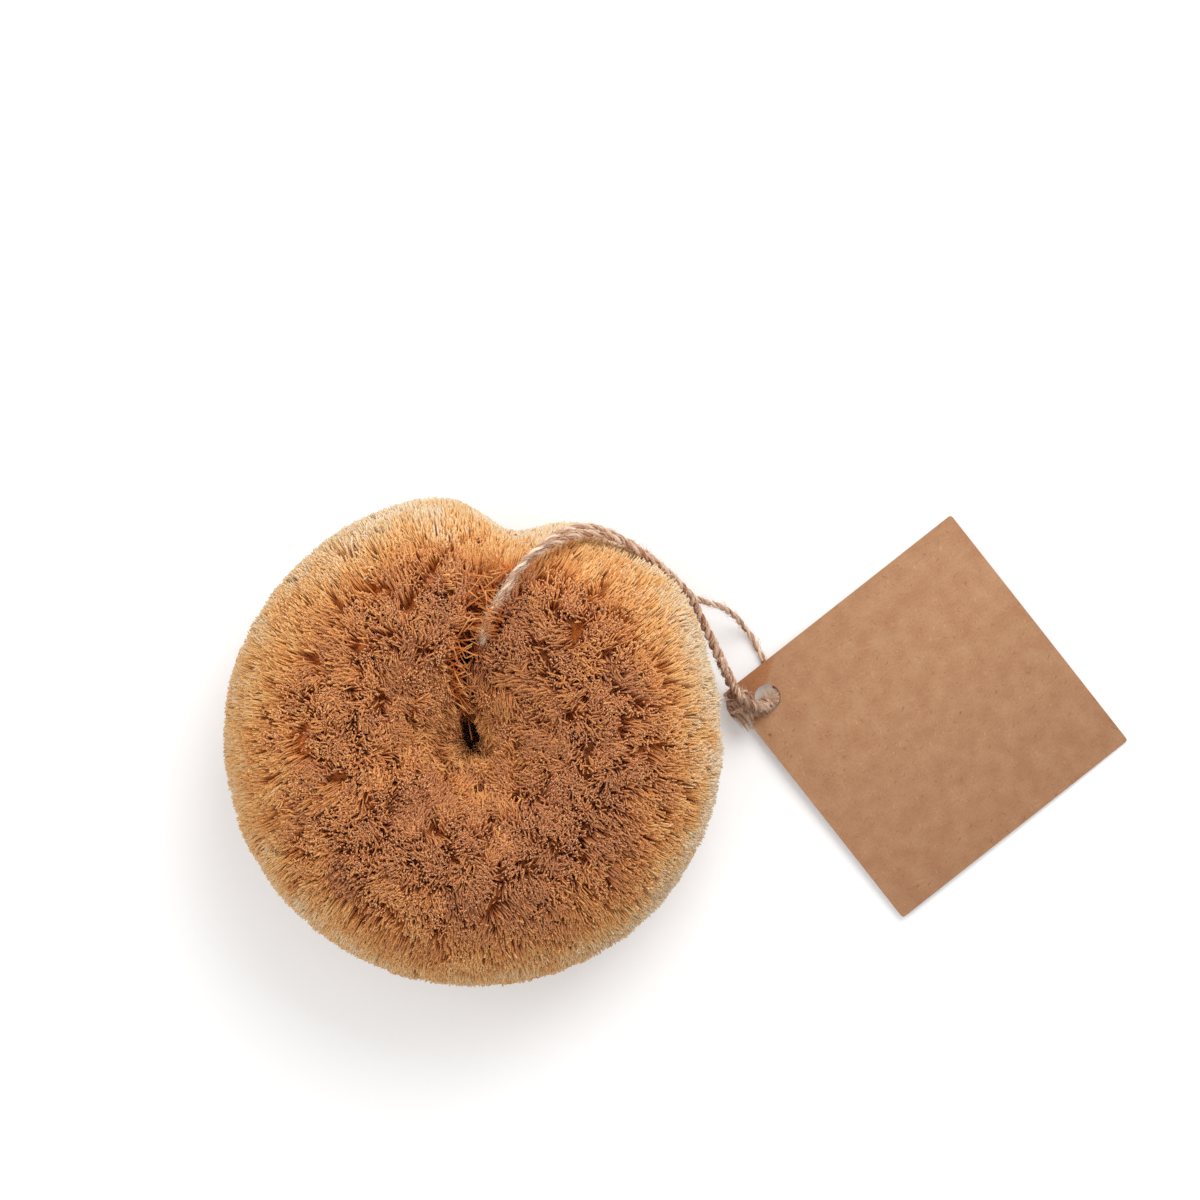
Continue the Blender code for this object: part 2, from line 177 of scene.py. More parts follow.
BIGHT_ROUTE = np.array([
    (50.9, 14.2, 0.65),
    (52.2, 11.6, 0.65),
    (52.65, 9.76, 0.75),
    (52.45, 8.7, 1.15),
    (51.75, 7.6, 1.85),
    (50.7, 6.85, 2.6),
    (49.6, 6.1, 3.0),
    (48.5, 5.4, 3.12),
]) * MM
OVER_ROUTE = np.array([
    (43.0, 14.4, 8.9),
    (44.2, 11.9, 8.4),
    (45.6, 9.3, 7.9),
    (47.0, 7.3, 7.3),
    (48.6, 6.1, 5.9),
    (50.2, 5.75, 4.2),
    (51.7, 5.95, 3.1),
]) * MM
BIGHT_SAG = (1.0 * MM, -1.3 * MM, 0.3 * MM)
KNOT_CENTRE = np.array([46.5, 6.6, 4.65]) * MM
KNOT_AXIS = (0.36, -0.93, 0.0)

# Tag
TAG_SIDE = 50.8 * MM
TAG_HALF = TAG_SIDE / math.sqrt(2)
TAG_THICKNESS = 0.5 * MM
TAG_HOLE_DIAMETER = 4.6 * MM
TAG_HOLE_INSET = 7.5 * MM
TAG_CORNER = Vector((44.2, 8.25, 1.731)) * MM
TAG_HEADING = math.radians(-6.8)
TAG_SLOPE = math.radians(1.3805)
CORNER_CURL = 0.7 * MM
SPECK = (0.0486, 0.2221)
WHITE = (1.0, 1.0, 1.0)

# Studio
CAMERA_PLACE = Vector((22.0, 24.6, 900.0)) * MM
PHOTO_WIDTH = 212.76 * MM
SENSOR_WIDTH = 36.0
FLOOR_HALF = 3.0
WORLD_LIGHT = 0.62
LIGHT_TARGET = Vector((0.01, 0.0, 0.02))


# Meshes


def polar(angle, out, up):
    """Points beside the core circle at ring angles, outwards and upwards from it."""
    reach = RING_RADIUS + out
    return np.stack([reach * np.cos(angle), reach * np.sin(angle), CORE_HEIGHT + up], axis=-1)


def section(angle, turn, reach):
    """Points of the ring's sections, at a turn and a reach from the core circle."""
    return polar(angle, reach * np.cos(turn), reach * np.sin(turn))


def lengths(vectors):
    return np.linalg.norm(vectors, axis=-1)


def draws(number):
    """A seeded source of random numbers of its own for each use."""
    return np.random.default_rng(SEED + number)


def turned(first, second, turn):
    """The direction at a turn from a first one towards a second one."""
    return first * np.cos(turn) + second * np.sin(turn)


def tangents(angle):
    """Unit vectors along the ring at ring angles."""
    return np.stack([-np.sin(angle), np.cos(angle), 0 * angle], axis=-1)


def bell(offset, width, power=2):
    """1 where the offset is 0, and next to nothing a few widths away."""
    return np.exp(-((offset / width) ** power))


def add_object(name, data):
    made = bpy.data.objects.new(name, data)
    bpy.context.scene.collection.objects.link(made)
    return made


def add_mesh(name, points, faces, uvs, smooth, material):
    """An object from arrays. faces, uvs and smooth hold one entry for each size of face."""
    loops = np.concatenate([np.ravel(group) for group in faces]).astype(np.int32)
    sizes = np.concatenate([np.full(len(group), group.shape[1]) for group in faces])
    mesh = bpy.data.meshes.new(name)
    mesh.vertices.add(len(points))
    mesh.vertices.foreach_set("co", np.ravel(points).astype(np.float32))
    mesh.loops.add(len(loops))
    mesh.loops.foreach_set("vertex_index", loops)
    mesh.polygons.add(len(sizes))
    mesh.polygons.foreach_set("loop_start", np.cumsum(sizes, dtype=np.int32) - sizes.astype(np.int32))
    flags = np.concatenate([np.full(len(group), flag) for group, flag in zip(faces, smooth)])
    mesh.polygons.foreach_set("use_smooth", flags)
    mesh.update(calc_edges=True)
    layer = mesh.uv_layers.new(name=UV_NAME)
    layer.uv.foreach_set("vector", np.concatenate([np.ravel(group) for group in uvs]).astype(np.float32))
    mesh.materials.append(material)
    return add_object(name, mesh)


def unit(vectors):
    """The same directions, each one long."""
    return vectors / np.maximum(np.linalg.norm(vectors, axis=-1, keepdims=True), 1e-12)


def curves(root, middle, tip):
    """Lines that bend from their roots to their tips, drawn by the points between."""
    steps = np.array(FIBRE_STEPS)[None, :, None]
    start, bend, end = root[:, None], middle[:, None], tip[:, None]
    return start * (1 - steps) ** 2 + 2 * bend * steps * (1 - steps) + end * steps**2


def across(lines):
    """Two unit vectors across each point of many lines, shaped (lines, points, 3)."""
    along = unit(np.gradient(lines, axis=1))
    chord = unit(lines[:, -1] - lines[:, 0])
    axis = np.eye(3)[np.argmin(np.abs(chord), axis=1)]
    first = unit(np.cross(along, axis[:, None, :]))
    return first, np.cross(along, first)


def wall_quads(number):
    """Quads between rings of points. number holds their numbers, by ring and place in it."""
    ahead = np.roll(number, -1, axis=-1)
    corners = (number[..., :-1, :], ahead[..., :-1, :], ahead[..., 1:, :], number[..., 1:, :])
    return np.stack(corners, axis=-1).reshape(-1, 4)


def wall_uvs(left, right, low, high):
    """UVs of the same quads, from the edges of each on the map."""
    left, right, low, high = np.broadcast_arrays(left, right, low, high)
    corners = ((left, low), (right, low), (right, high), (left, high))
    return np.stack([np.stack(corner, axis=-1) for corner in corners], axis=-2).reshape(-1, 4, 2)


def fibre_arrays(lines, radii, columns, column_count):
    """Points, faces and UVs of fibres: tubes along lines, each with a cut end.

    Each fibre takes one column of the map, with its length from the bottom to near the top. Its
    cut end is the top of the column.
    """
    count, rings = lines.shape[:2]
    first, second = across(lines)
    turns = TURN * np.arange(FIBRE_SIDES) / FIBRE_SIDES
    spread = turned(first[:, :, None], second[:, :, None], turns[:, None])
    points = lines[:, :, None] + spread * radii[:, :, None, None]
    number = np.arange(count * rings * FIBRE_SIDES).reshape(count, rings, FIBRE_SIDES)
    walked = lengths(np.diff(lines, axis=1)).cumsum(axis=1)
    share = np.concatenate([np.zeros((count, 1)), walked / walked[:, -1:]], axis=1) * SIDE_TOP
    left = (columns[:, None, None] + 0.15 + 0.7 * np.arange(FIBRE_SIDES) / FIBRE_SIDES) / column_count
    right = left + 0.7 / FIBRE_SIDES / column_count
    side_uvs = wall_uvs(left, right, share[:, :-1, None], share[:, 1:, None])
    cap_u = (columns[:, None] + 0.5 + 0.35 * np.cos(turns)) / column_count
    cap_v = np.broadcast_to(0.975 + 0.02 * np.sin(turns), cap_u.shape)
    cap_uvs = np.stack([cap_u, cap_v], axis=-1)
    return points.reshape(-1, 3), [wall_quads(number), number[:, -1]], [side_uvs, cap_uvs]


def add_fibres(name, lines, radii, columns, column_count, material, base=None):
    """One object of many fibres, with a surface of quads under them where base gives one."""
    points, faces, uvs = fibre_arrays(lines, radii, columns, column_count)
    smooth = [True, False]
    if base:
        base_points, base_quads, base_uvs = base
        faces.append(base_quads + len(points))
        points = np.concatenate([points, base_points])
        uvs.append(base_uvs)
        smooth.append(True)
    return add_mesh(name, points, faces, uvs, smooth, material)


# Coir


def near_angle(angle, centre):
    """Angles from one direction, from minus to plus half a turn."""
    return np.mod(angle - centre + TURN / 2, TURN) - TURN / 2


def past_seam(angle):
    return near_angle(angle, SEAM_ANGLE)


def outward(turn):
    """How much a turn of the section faces out of the ring, from 0 to 1."""
    return np.clip(np.cos(turn), 0, 1)


def fullness(angle, turn):
    """How full the bristles stand. They give way at the seam, and are worn at the ring's foot."""
    past = past_seam(angle)
    outer = outward(turn)
    notch = NOTCH_DEPTH * (0.55 + 0.45 * outer) * bell(past + NOTCH_LEAN, NOTCH_HALF_WIDTH)
    inner = np.clip(np.sin(turn * 0.85 - 0.9), 0, 1)
    pit = PIT_DEPTH * inner * bell(past, PIT_HALF_WIDTH)
    worn = WORN_DEPTH * outer * bell(near_angle(angle, WORN_ANGLE), WORN_SPREAD)
    shoulder = SHOULDER_RISE * outer * bell(near_angle(angle, SHOULDER_ANGLE), SHOULDER_SPREAD, 4)
    return 1 - notch - pit - worn + shoulder


def pick_turns(source, count):
    """Turns round the section. Fewer fibres are drawn on the inside, where they crowd."""
    turns = np.linspace(0, TURN, 721)
    crowding = (1 + TIP_REACH / RING_RADIUS * np.cos(turns)) / (1 + TIP_REACH / RING_RADIUS)
    weights = 0.12 + crowding**0.9 + 0.25 * bell(turns - TURN / 4, 0.7)
    picked = source.choice(turns, count, p=weights / weights.sum())
    return picked + source.uniform(-0.5, 0.5, count) * (turns[1] - turns[0])


def tree_of(points):
    """A tree that finds the nearest of some points."""
    tree = KDTree(len(points))
    for number, point in enumerate(points):
        tree.insert(point, number)
    tree.balance()
    return tree


def make_tufts():
    """Places that the fibres' tips draw together to, with a lean, a length and a tone for each."""
    source = draws(0)
    angle = SEAM_ANGLE + source.uniform(SEAM_HALF_GAP, TURN - SEAM_HALF_GAP, TUFT_COUNT)
    turn = pick_turns(source, TUFT_COUNT)
    places = section(angle, turn, TIP_REACH * fullness(angle, turn))
    return {
        "tree": tree_of(places),
        "places": places,
        "pull": source.uniform(*TUFT_PULL, TUFT_COUNT),
        "lean": source.normal(0, TUFT_LEAN, (TUFT_COUNT, 2)),
        "length": source.normal(0, 0.024, TUFT_COUNT),
        "tone": source.normal(0, 0.09, TUFT_COUNT),
    }


def slow_waves(angle, turn):
    """A smooth pattern over the ring, from about -1 to 1."""
    return (
        0.45 * np.sin(3 * angle + 1.3 + np.cos(2 * turn))
        + 0.35 * np.sin(7 * angle - 2 * turn + 0.4)
        + 0.35 * np.cos(5 * turn + 4 * angle + 2.1)
    )


def tone_at(angle, turn):
    """How pale the fibres are: pale and golden round the rim, browner on top, most of all below.

    The paler rim is partly the fibres' own colour and partly painted light. The brighter right side, the
    bright upper lobe and the lighter browning on the ring's left side are painted light.
    """
    rim = outward(turn) ** 1.5
    edge = outward(turn) ** 6
    top = bell(turn - TURN / 4, 0.75)
    # Painted light: the ring's right side is painted brighter where light falls
    right = np.clip(np.cos(angle - PAINTED_LIGHT_ANGLE), 0, 1)
    inner = np.clip(-np.cos(turn), 0, 1)
    # Painted light: the browning on top and on the inner side is lighter on the ring's left side
    left = np.clip(-np.cos(angle), 0, 1) ** 3
    # The paler rim is partly the fibres' own colour and partly painted light
    base = 0.4 + 0.27 * rim + 0.06 * edge - (0.44 - 0.24 * left) * top - (0.12 - 0.06 * left) * inner
    # Painted light: the upper lobe of the rim is brighter where light falls
    painted_light_lobe = 0.22 * bell(near_angle(angle, PAINTED_LOBE_ANGLE), 0.6) * np.sqrt(outward(turn))
    beside_twine = 0.3 * edge * bell(near_angle(angle, TWINE_ANGLE), 0.2)
    # Painted light on the rim's right side
    painted_sunlight = (0.18 * rim + 0.15 * edge) * right
    return base + painted_light_lobe + beside_twine + painted_sunlight + 0.07 * slow_waves(angle, turn)


def part_round(lines, tree, clear):
    """Moves the points of fibres out of the twine. clear holds a distance for each of its points."""
    flat = lines.reshape(-1, 3)
    for number, point in enumerate(flat):
        nearest, found, distance = tree.find(point)
        if distance < clear[found]:
            away = Vector(point) - nearest
            flat[number] = nearest + away.normalized() * clear[found]
    return flat.reshape(lines.shape)


def seam_shift(points, angle):
    """How far fibres stand to the left of their place, so that the seam bends on its way to the hole."""
    ring = lengths(points[:, :2])
    along = bell(ring - SEAM_BEND_RADIUS, SEAM_BEND_REACH)
    beside = bell(past_seam(angle) * ring, SEAM_BEND_SPREAD)
    above = np.clip(points[:, 2] / CORE_HEIGHT - 0.5, 0, 1)
    return SEAM_BEND * along * beside * above


def trim(points, turn, limit):
    """Cuts tips back to the shape that the brush was trimmed to, on all but its inner side."""
    angle = np.arctan2(points[:, 1], points[:, 0])
    out = lengths(points[:, :2]) - RING_RADIUS
    up = points[:, 2] - CORE_HEIGHT
    share = limit * fullness(angle, np.arctan2(up, out)) / np.hypot(out, up)
    share = np.where(np.cos(turn) > -0.4, np.minimum(share, 1), 1)
    return polar(angle, out * share, up * share)


def in_slit(points, turn):
    """Which tips lie in the open slit of the seam, which is widest at two pits."""
    ring = lengths(points[:, :2])
    beside = np.abs(past_seam(np.arctan2(points[:, 1], points[:, 0]))) * ring
    width = SLIT_HALF_WIDTH
    for pit in PIT_RADII:
        width = width + PIT_SIZE / 2 * bell(ring - pit, PIT_SIZE)
    return (beside < width) & (turn > SLIT_TURNS[0]) & (turn < SLIT_TURNS[1])


def bundle_lines(index, tufts):
    """Lines, radii and tones of the fibres of one bundle."""
    source = draws(100 + index)
    count = FIBRES_PER_BUNDLE
    angle = SEAM_ANGLE + SEAM_HALF_GAP + BUNDLE_SPAN * (index + source.random(count))
    turn = pick_turns(source, count)
    reach = TIP_REACH * (0.998 - 0.035 * np.abs(source.normal(0, 1, count))) * fullness(angle, turn)
    inwards = np.clip(-np.cos(turn), 0, 1) ** 4
    reach += source.uniform(0, 2.0 * MM, count) * inwards
    crossing = (turn > CROSSING_TURNS[0]) & (turn < CROSSING_TURNS[1])
    across_hole = (RING_RADIUS + source.uniform(-2.0, 3.0, count) * MM) / np.maximum(-np.cos(turn), 0.5)
    reach = np.where(crossing, across_hole, reach)
    root = section(angle, turn, ROOT_REACH)
    tip = section(angle, turn, reach)
    tangent = tangents(angle)
    outwards = unit(section(angle, turn, 1.0) - section(angle, turn, 0.0))
    over = np.cross(tangent, outwards)
    nearest = np.array([tufts["tree"].find(place)[1] for place in tip])
    pull = tufts["pull"][nearest, None] * source.uniform(0.5, 1.1, (count, 1))
    pull[crossing] = 0
    combed = 1 - 0.7 * outward(turn)[:, None] ** 2
    combed = combed * (1 - 0.5 * bell(past_seam(angle), NOTCH_HALF_WIDTH))[:, None]
    pull = pull * combed
    tip += (tufts["places"][nearest] - tip) * pull
    laid = source.random(count) < LAID_SHARE
    lean = tufts["lean"][nearest] + source.normal(0, TIP_LEAN, (count, 2))
    lean = lean * combed * np.where(laid, LAID_LEAN, 1.0)[:, None]
    flank = near_angle(turn, 0.0)
    combing = bell(np.abs(flank) - COMB_TURN, COMB_SPREAD)
    lean[:, 0] *= 1 - 0.6 * combing
    lean[:, 1] += COMB_LEAN * combing * np.sign(flank) * source.uniform(0.5, 1.5, count)
    lean = lean / np.sqrt(1 + (np.linalg.norm(lean, axis=1, keepdims=True) / MOST_LEAN) ** 2)
    tip += tangent * lean[:, :1] + over * lean[:, 1:]
    tip += outwards * (tufts["length"][nearest, None] * TIP_REACH * combed)
    below = LAID_DROP * (1 - outward(turn)) * ~laid
    tip = trim(tip, turn, TIP_REACH * (1 + source.normal(0, 0.01, count)) - below)
    kept = ~in_slit(tip, turn) | (source.random(count) < 0.05)
    upright = np.where(laid, 0.75, 0.55)
    middle = root + outwards * (upright * (reach - ROOT_REACH))[:, None]
    sway = source.normal(0, 0.3 * MM, (count, 2)) + 0.15 * lean
    middle += tangent * sway[:, :1] + over * sway[:, 1:]
    lines = curves(root, middle, tip)
    lines[..., 0] -= seam_shift(tip, angle)[:, None]
    lines = keep_off(lines)
    radius = FIBRE_RADIUS * source.uniform(0.75, 1.25, (count, 1))
    radii = radius * np.array([1.0, 1.0, 1.0, 0.85])
    tone = tone_at(angle, turn) + tufts["tone"][nearest] + source.normal(0, 0.07, count) + 0.1 * laid
    return lines[kept], radii[kept], tone[kept]


def stray_lines():
    """Long fibres that lie across the seam, mostly on its inner side."""
    source = draws(70)
    side = source.choice([-1, 1], STRAY_COUNT)
    turn = source.uniform(math.radians(62), math.radians(185), STRAY_COUNT)
    angle = SEAM_ANGLE + side * source.uniform(math.radians(1), math.radians(9), STRAY_COUNT)
    reach = TIP_REACH * source.uniform(0.74, 0.9, STRAY_COUNT)
    root = section(angle, turn, reach)
    tangent = tangents(angle)
    outwards = unit(root - section(angle, turn, 0.0))
    over = np.cross(tangent, outwards)
    along = -side * source.uniform(1.5, 4.5, STRAY_COUNT) * MM
    rise = source.uniform(1.5, 3.2, STRAY_COUNT) * MM
    turned = source.normal(0, 2.8 * MM, STRAY_COUNT)
    tip = root + tangent * along[:, None] + outwards * rise[:, None] + over * turned[:, None]
    middle = (root + tip) / 2 + outwards * 0.3 * MM
    lines = np.stack([root, middle, tip], axis=1)
    lines[..., 0] -= seam_shift(root, angle)[:, None]
    return keep_off(lines)


def cover_lines():
    """Fibres from either side that cross over the twine where it goes down into the seam."""
    source = draws(72)
    pair = catmull_rom(PAIR_ROUTE, 0.5 * MM)
    at = source.triangular(9, 14, 36, COVER_COUNT).astype(int)
    along = unit(np.gradient(pair, axis=0))[at]
    side = unit(np.cross(along, (0, 0, 1))) * source.choice([-1, 1], (COVER_COUNT, 1))
    up = np.array([0, 0, MM])
    sunk = pair[at] - up * SEAM_SINK / MM
    root = sunk + side * source.uniform(1.2, 2.6, (COVER_COUNT, 1)) * MM - up * 2.5
    middle = sunk + side * 1.2 * MM + up * 2.2
    tip = sunk - side * source.uniform(0.0, 1.6, (COVER_COUNT, 1)) * MM
    tip += up * source.uniform(1.1, 1.6, (COVER_COUNT, 1))
    tip += along * source.normal(0, 1.3 * MM, (COVER_COUNT, 1))
    return curves(root, middle, tip)


def keep_off(lines):
    """Keeps fibres above the floor and, near the top, out of the hole."""
    low = np.maximum(0, 1.5 * MM - lines[..., 2])
    lines[..., 2] = np.maximum(lines[..., 2], FLOOR_GAP + 0.2 * low)
    offset = lines[..., :2] - np.array(HOLE_CENTRE)
    cos, sin = math.cos(HOLE_HEADING), math.sin(HOLE_HEADING)
    wide = offset[..., 0] * cos + offset[..., 1] * sin
    long = offset[..., 1] * cos - offset[..., 0] * sin
    inside = np.hypot(wide / HOLE_HALF_WIDTHS[0], long / HOLE_HALF_WIDTHS[1])
    away = np.where(lines[..., 2] > HOLE_DEPTH, np.maximum(1 / np.maximum(inside, 0.05), 1), 1)
    lines[..., :2] += offset * (away[..., None] - 1)
    return lines


def packed_surface(index):
    """The tightly packed fibre that shows dark between the tufts."""
    columns, rows = 10, 60
    angles = SEAM_ANGLE + SEAM_HALF_GAP + BUNDLE_SPAN * (index + np.linspace(0, 1, columns + 1))
    turns = TURN * np.arange(rows) / rows
    angle, turn = np.meshgrid(angles, turns, indexing="ij")
    reach = PACKED_REACH * (1 + 0.05 * np.sin(9 * turn + 20 * angle) * np.cos(33 * angle - 5 * turn))
    beside = past_seam(angle) * (RING_RADIUS + reach * np.cos(turn))
    reach = reach * (1 - 0.6 * bell(beside, 3.0 * MM))
    points = section(angle, turn, reach * fullness(angle, turn)).reshape(-1, 3)
    points[:, 0] -= seam_shift(points, angle.ravel())
    number = np.arange((columns + 1) * rows).reshape(columns + 1, rows)
    quads = wall_quads(number)[:, ::-1]
    left, right = PACKED_TONE * SHADES + 0.1, (PACKED_TONE + 1) * SHADES - 0.1
    corner = np.array([(right, 0.3), (right, 0.5), (left, 0.5), (left, 0.3)]) / (TONES * SHADES, 1)
    return points, quads, np.broadcast_to(corner, (len(quads), 4, 2))


def columns_of(tone, source):
    """The map's column for each fibre: its tone, and one of the tone's shades."""
    tones = np.clip(np.floor(tone * TONES), 0, TONES - 1)
    return tones * SHADES + source.integers(0, SHADES, len(tone))


def add_coir(name, lines, radii, tone, source, material, base=None):
    """One piece of coir fibres on the brush."""
    columns = columns_of(tone, source)
    piece = add_fibres(name, lines, radii, columns, TONES * SHADES, material, base)
    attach(piece, "brush")
    return piece


def make_bristles(material, loop):
    """The fibres of all bundles. Each bundle's piece stands for its CAD node."""
    tufts = make_tufts()
    twine = resample(loop, 0.4 * MM)
    tree = tree_of(twine)
    from_seam = lengths(twine - PAIR_ROUTE[2])
    clear = TWINE_DIAMETER * (0.75 - 0.3 * bell(from_seam, SEAM_SINK_REACH))
    for index in range(BUNDLE_COUNT):
        lines, radii, tone = bundle_lines(index, tufts)
        lines = part_round(lines, tree, clear)
        name, source, base = f"bristles_{index + 1:02d}", draws(500 + index), packed_surface(index)
        piece = add_coir(name, lines, radii, tone, source, material, base)
        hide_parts(f"bristle_bundle_{index + 1:02d}")
    source = draws(71)
    strays = part_round(stray_lines(), tree, clear)
    loose = (("stray_fibres", strays, (0.1, 0.5)), ("cover_fibres", cover_lines(), (0.05, 0.3)))
    for name, lines, tones in loose:
        tone = source.uniform(*tones, len(lines))
        radii = FIBRE_RADIUS * np.linspace(1.1, 0.75, lines.shape[1]) * np.ones(lines.shape[:2])
        add_coir(name, lines, radii, tone, source, material)


# Twine


def catmull_rom(points, spacing):
    """Evenly spaced points on a smooth curve through a route's own points."""
    points = np.array(points, float)
    ends = np.concatenate([[2 * points[0] - points[1]], points, [2 * points[-1] - points[-2]]])
    t = (np.arange(16) / 16)[:, None]
    fine = []
    for before, start, end, after in zip(ends, ends[1:], ends[2:], ends[3:]):
        curve = 2 * start + (end - before) * t
        curve += (2 * before - 5 * start + 4 * end - after) * t**2
        curve += (3 * start - before - 3 * end + after) * t**3
        fine.append(curve / 2)
    fine.append(points[-1:])
    return resample(np.concatenate(fine), spacing)


def walk(line):
    """How far along a line each of its points lies."""
    return np.concatenate([[0], lengths(np.diff(line, axis=0)).cumsum()])


def resample(line, spacing):
    """The same line with evenly spaced points."""
    walked = walk(line)
    wanted = np.linspace(0, walked[-1], max(2, round(walked[-1] / spacing)) + 1)
    return np.stack([np.interp(wanted, walked, line[:, axis]) for axis in range(3)], axis=1)


def line_length(line):
    return float(lengths(np.diff(line, axis=0)).sum())


def pair_strands():
    """The two strands that run together from the seam over the shoulder of the brush.

    They lie one on top of the other, closer together than in CAD, and change places half way.
    """
    middle = catmull_rom(PAIR_ROUTE, 3.0 * MM)
    angle = np.arctan2(middle[:, 1], middle[:, 0])
    along = unit(np.gradient(middle, axis=0))
    outwards = middle - polar(angle, 0 * angle, 0 * angle)
    outwards = unit(outwards - (outwards * along).sum(axis=1, keepdims=True) * along)
    share = np.linspace(0, 1, len(middle))[:, None]
    upwards = unit(np.array([0, 0, 1]) - along * along[:, 2:])
    above = np.where(share > UPRIGHT_FROM, upwards, outwards)
    turn = np.radians(np.interp(share, *PAIR_TURNS))
    offset = turned(above, np.cross(along, above), turn)
    offset = offset * (TWINE_DIAMETER + STRAND_GAP) / 2
    return middle - offset, middle + offset


def eye_turn_points():
    """The twine's way down through the wire's eye, round under its inner side and up again."""
    middle = -EYE_LEG_INSET - UNDER_EYE_RADIUS
    turns = -TURN / 2 * np.arange(7) / 6
    outs = [-EYE_LEG_INSET, *(middle + UNDER_EYE_RADIUS * np.cos(turns)), middle - UNDER_EYE_RADIUS]
    ups = [EYE_LEG_RISE, *(UNDER_EYE_RADIUS * np.sin(turns)), EYE_LEG_RISE]
    return polar(np.full(len(outs), SEAM_ANGLE), np.array(outs), np.array(ups))


def knot_frame():
    """The knot's middle, the direction of the strand through it, and two across that."""
    axis = np.array(Vector(KNOT_AXIS).normalized())
    side = unit(np.cross(axis, (0, 0, 1)))
    return KNOT_CENTRE, axis, side, np.cross(side, axis)


def knot_coil():
    """The coil that the twine's other end makes round the first, from below it."""
    centre, axis, side, up = knot_frame()
    share = np.linspace(0, 1, 55)[:, None]
    turn = -TURN / 4 + TURN * KNOT_TURNS * share
    along = KNOT_PITCH * KNOT_TURNS * (0.5 - share)
    radius = TWINE_DIAMETER + JOINT_GAP
    return centre + axis * along + turned(side, up, turn) * radius


def loop_line():
    """The hanging loop, from the knot round through the seam to the tag."""
    centre, axis, _, _ = knot_frame()
    one, two = pair_strands()
    route = (
        [centre - axis * KNOT_HEAD],
        STRAND_ONE_ROUTE[::-1],
        one[::-1],
        eye_turn_points(),
        two,
        STRAND_TWO_ROUTE,
        BIGHT_ROUTE[:1],
    )
    line = catmull_rom(np.concatenate(route), 0.25 * MM)
    from_seam = lengths(line - PAIR_ROUTE[3])
    line[:, 2] -= SEAM_SINK * bell(from_seam, SEAM_SINK_REACH)
    return line


def carried_frames(line):
    """Two vectors across a line at each point, carried along it without twisting."""
    along = unit(np.gradient(line, axis=0))
    first = unit(np.cross(along[0], np.eye(3)[np.argmin(np.abs(along[0]))]))
    firsts = [first]
    for direction in along[1:]:
        first = first - direction * (first @ direction)
        first = first / np.linalg.norm(first)
        firsts.append(first)
    firsts = np.array(firsts)
    return firsts, np.cross(along, firsts)


def ply_lines(line, diameter):
    """The centre lines of a strand's two plies, which twist round each other."""
    first, second = carried_frames(line)
    plies = []
    for half in (0, 0.5):
        turn = TURN * (walk(line) / TWINE_LAY + half)[:, None]
        plies.append(line + turned(first, second, turn) * np.reshape(diameter, (-1, 1)) / 4)
    return plies


def ply_arrays(line, radii, half, pale):
    """Points, faces and UVs of one ply: a closed tube, with one half of the map's width.

    The map's lower half repeats along the tube, and its upper half where pale is 1.
    """
    first, second = carried_frames(line)
    turns = TURN * np.arange(PLY_SIDES) / PLY_SIDES
    spread = turned(first[:, None], second[:, None], turns[:, None])
    points = line[:, None] + spread * np.reshape(radii, (-1, 1, 1))
    number = np.arange(len(line) * PLY_SIDES).reshape(-1, PLY_SIDES) + half * len(line) * PLY_SIDES
    walked = walk(line) / PLY_MAP_LENGTH
    low = np.mod(walked[:-1], 1)
    high = np.minimum(low + np.diff(walked), 1)
    low, high = (((v + pale[:-1]) / 2)[:, None] for v in (low, high))
    left = (np.arange(PLY_SIDES) / PLY_SIDES + half) / 2
    quad_uvs = wall_uvs(left, left + 0.5 / PLY_SIDES, low, high)
    caps = np.stack([number[0, ::-1], number[-1]])
    cap_uv = np.stack([0.25 + half / 2 + 0.15 * np.cos(turns), 0.25 + 0.15 * np.sin(turns)], axis=-1)
    return points.reshape(-1, 3), wall_quads(number), quad_uvs, caps, np.stack([cap_uv, cap_uv])


def add_strand(name, line, diameter, material, pale=0):
    """A two-ply strand. diameter and pale are one number, or one for each point of the line."""
    diameter = np.broadcast_to(diameter, len(line))
    pale = np.broadcast_to(pale, len(line))
    number = np.arange(len(line))
    uneven = 1 + 0.09 * np.sin(number * 0.21 + 1.0) * np.sin(number * 0.057)
    plies = enumerate(ply_lines(line, diameter))
    made = [ply_arrays(ply, diameter * uneven * PLY_RADIUS, half, pale) for half, ply in plies]
    points, quads, quad_uvs, caps, cap_uvs = (np.concatenate(group) for group in zip(*made))
    return add_mesh(name, points, [quads, caps], [quad_uvs, cap_uvs], (True, False), material)


def wisp_lines(line, diameter, count, length, source, loose=0.12):
    """Fine fibres that follow a strand's twist, on its skin and in its grooves.

    loose is how far they stand off, as a share of the strand's radius.
    """
    first, second = carried_frames(line)
    spacing = line_length(line) / (len(line) - 1)
    steps = 9
    last = len(line) - 1
    reach = np.maximum(2, length / spacing * source.uniform(0.5, 1.0, count))
    start = source.uniform(0, np.maximum(1, last - reach))
    at = np.clip(start[:, None] + reach[:, None] * np.linspace(0, 1, steps), 0, last)
    low = np.minimum(at.astype(int), last - 1)
    share = (at - low)[..., None]
    rows = (line, first, second)
    middle, side, other = (row[low] * (1 - share) + row[low + 1] * share for row in rows)
    ply = source.integers(0, 2, (count, 1)) / 2
    turn = TURN * (at * spacing / TWINE_LAY + ply + source.uniform(-0.2, 0.2, (count, 1)))
    out = np.broadcast_to(diameter, len(line))[low][..., None] * 0.5
    out = out * (1 + loose * source.normal(0.1, 1, (count, 1, 1)) * np.linspace(0.2, 1, steps)[:, None])
    return middle + turned(side, other, turn[..., None]) * out


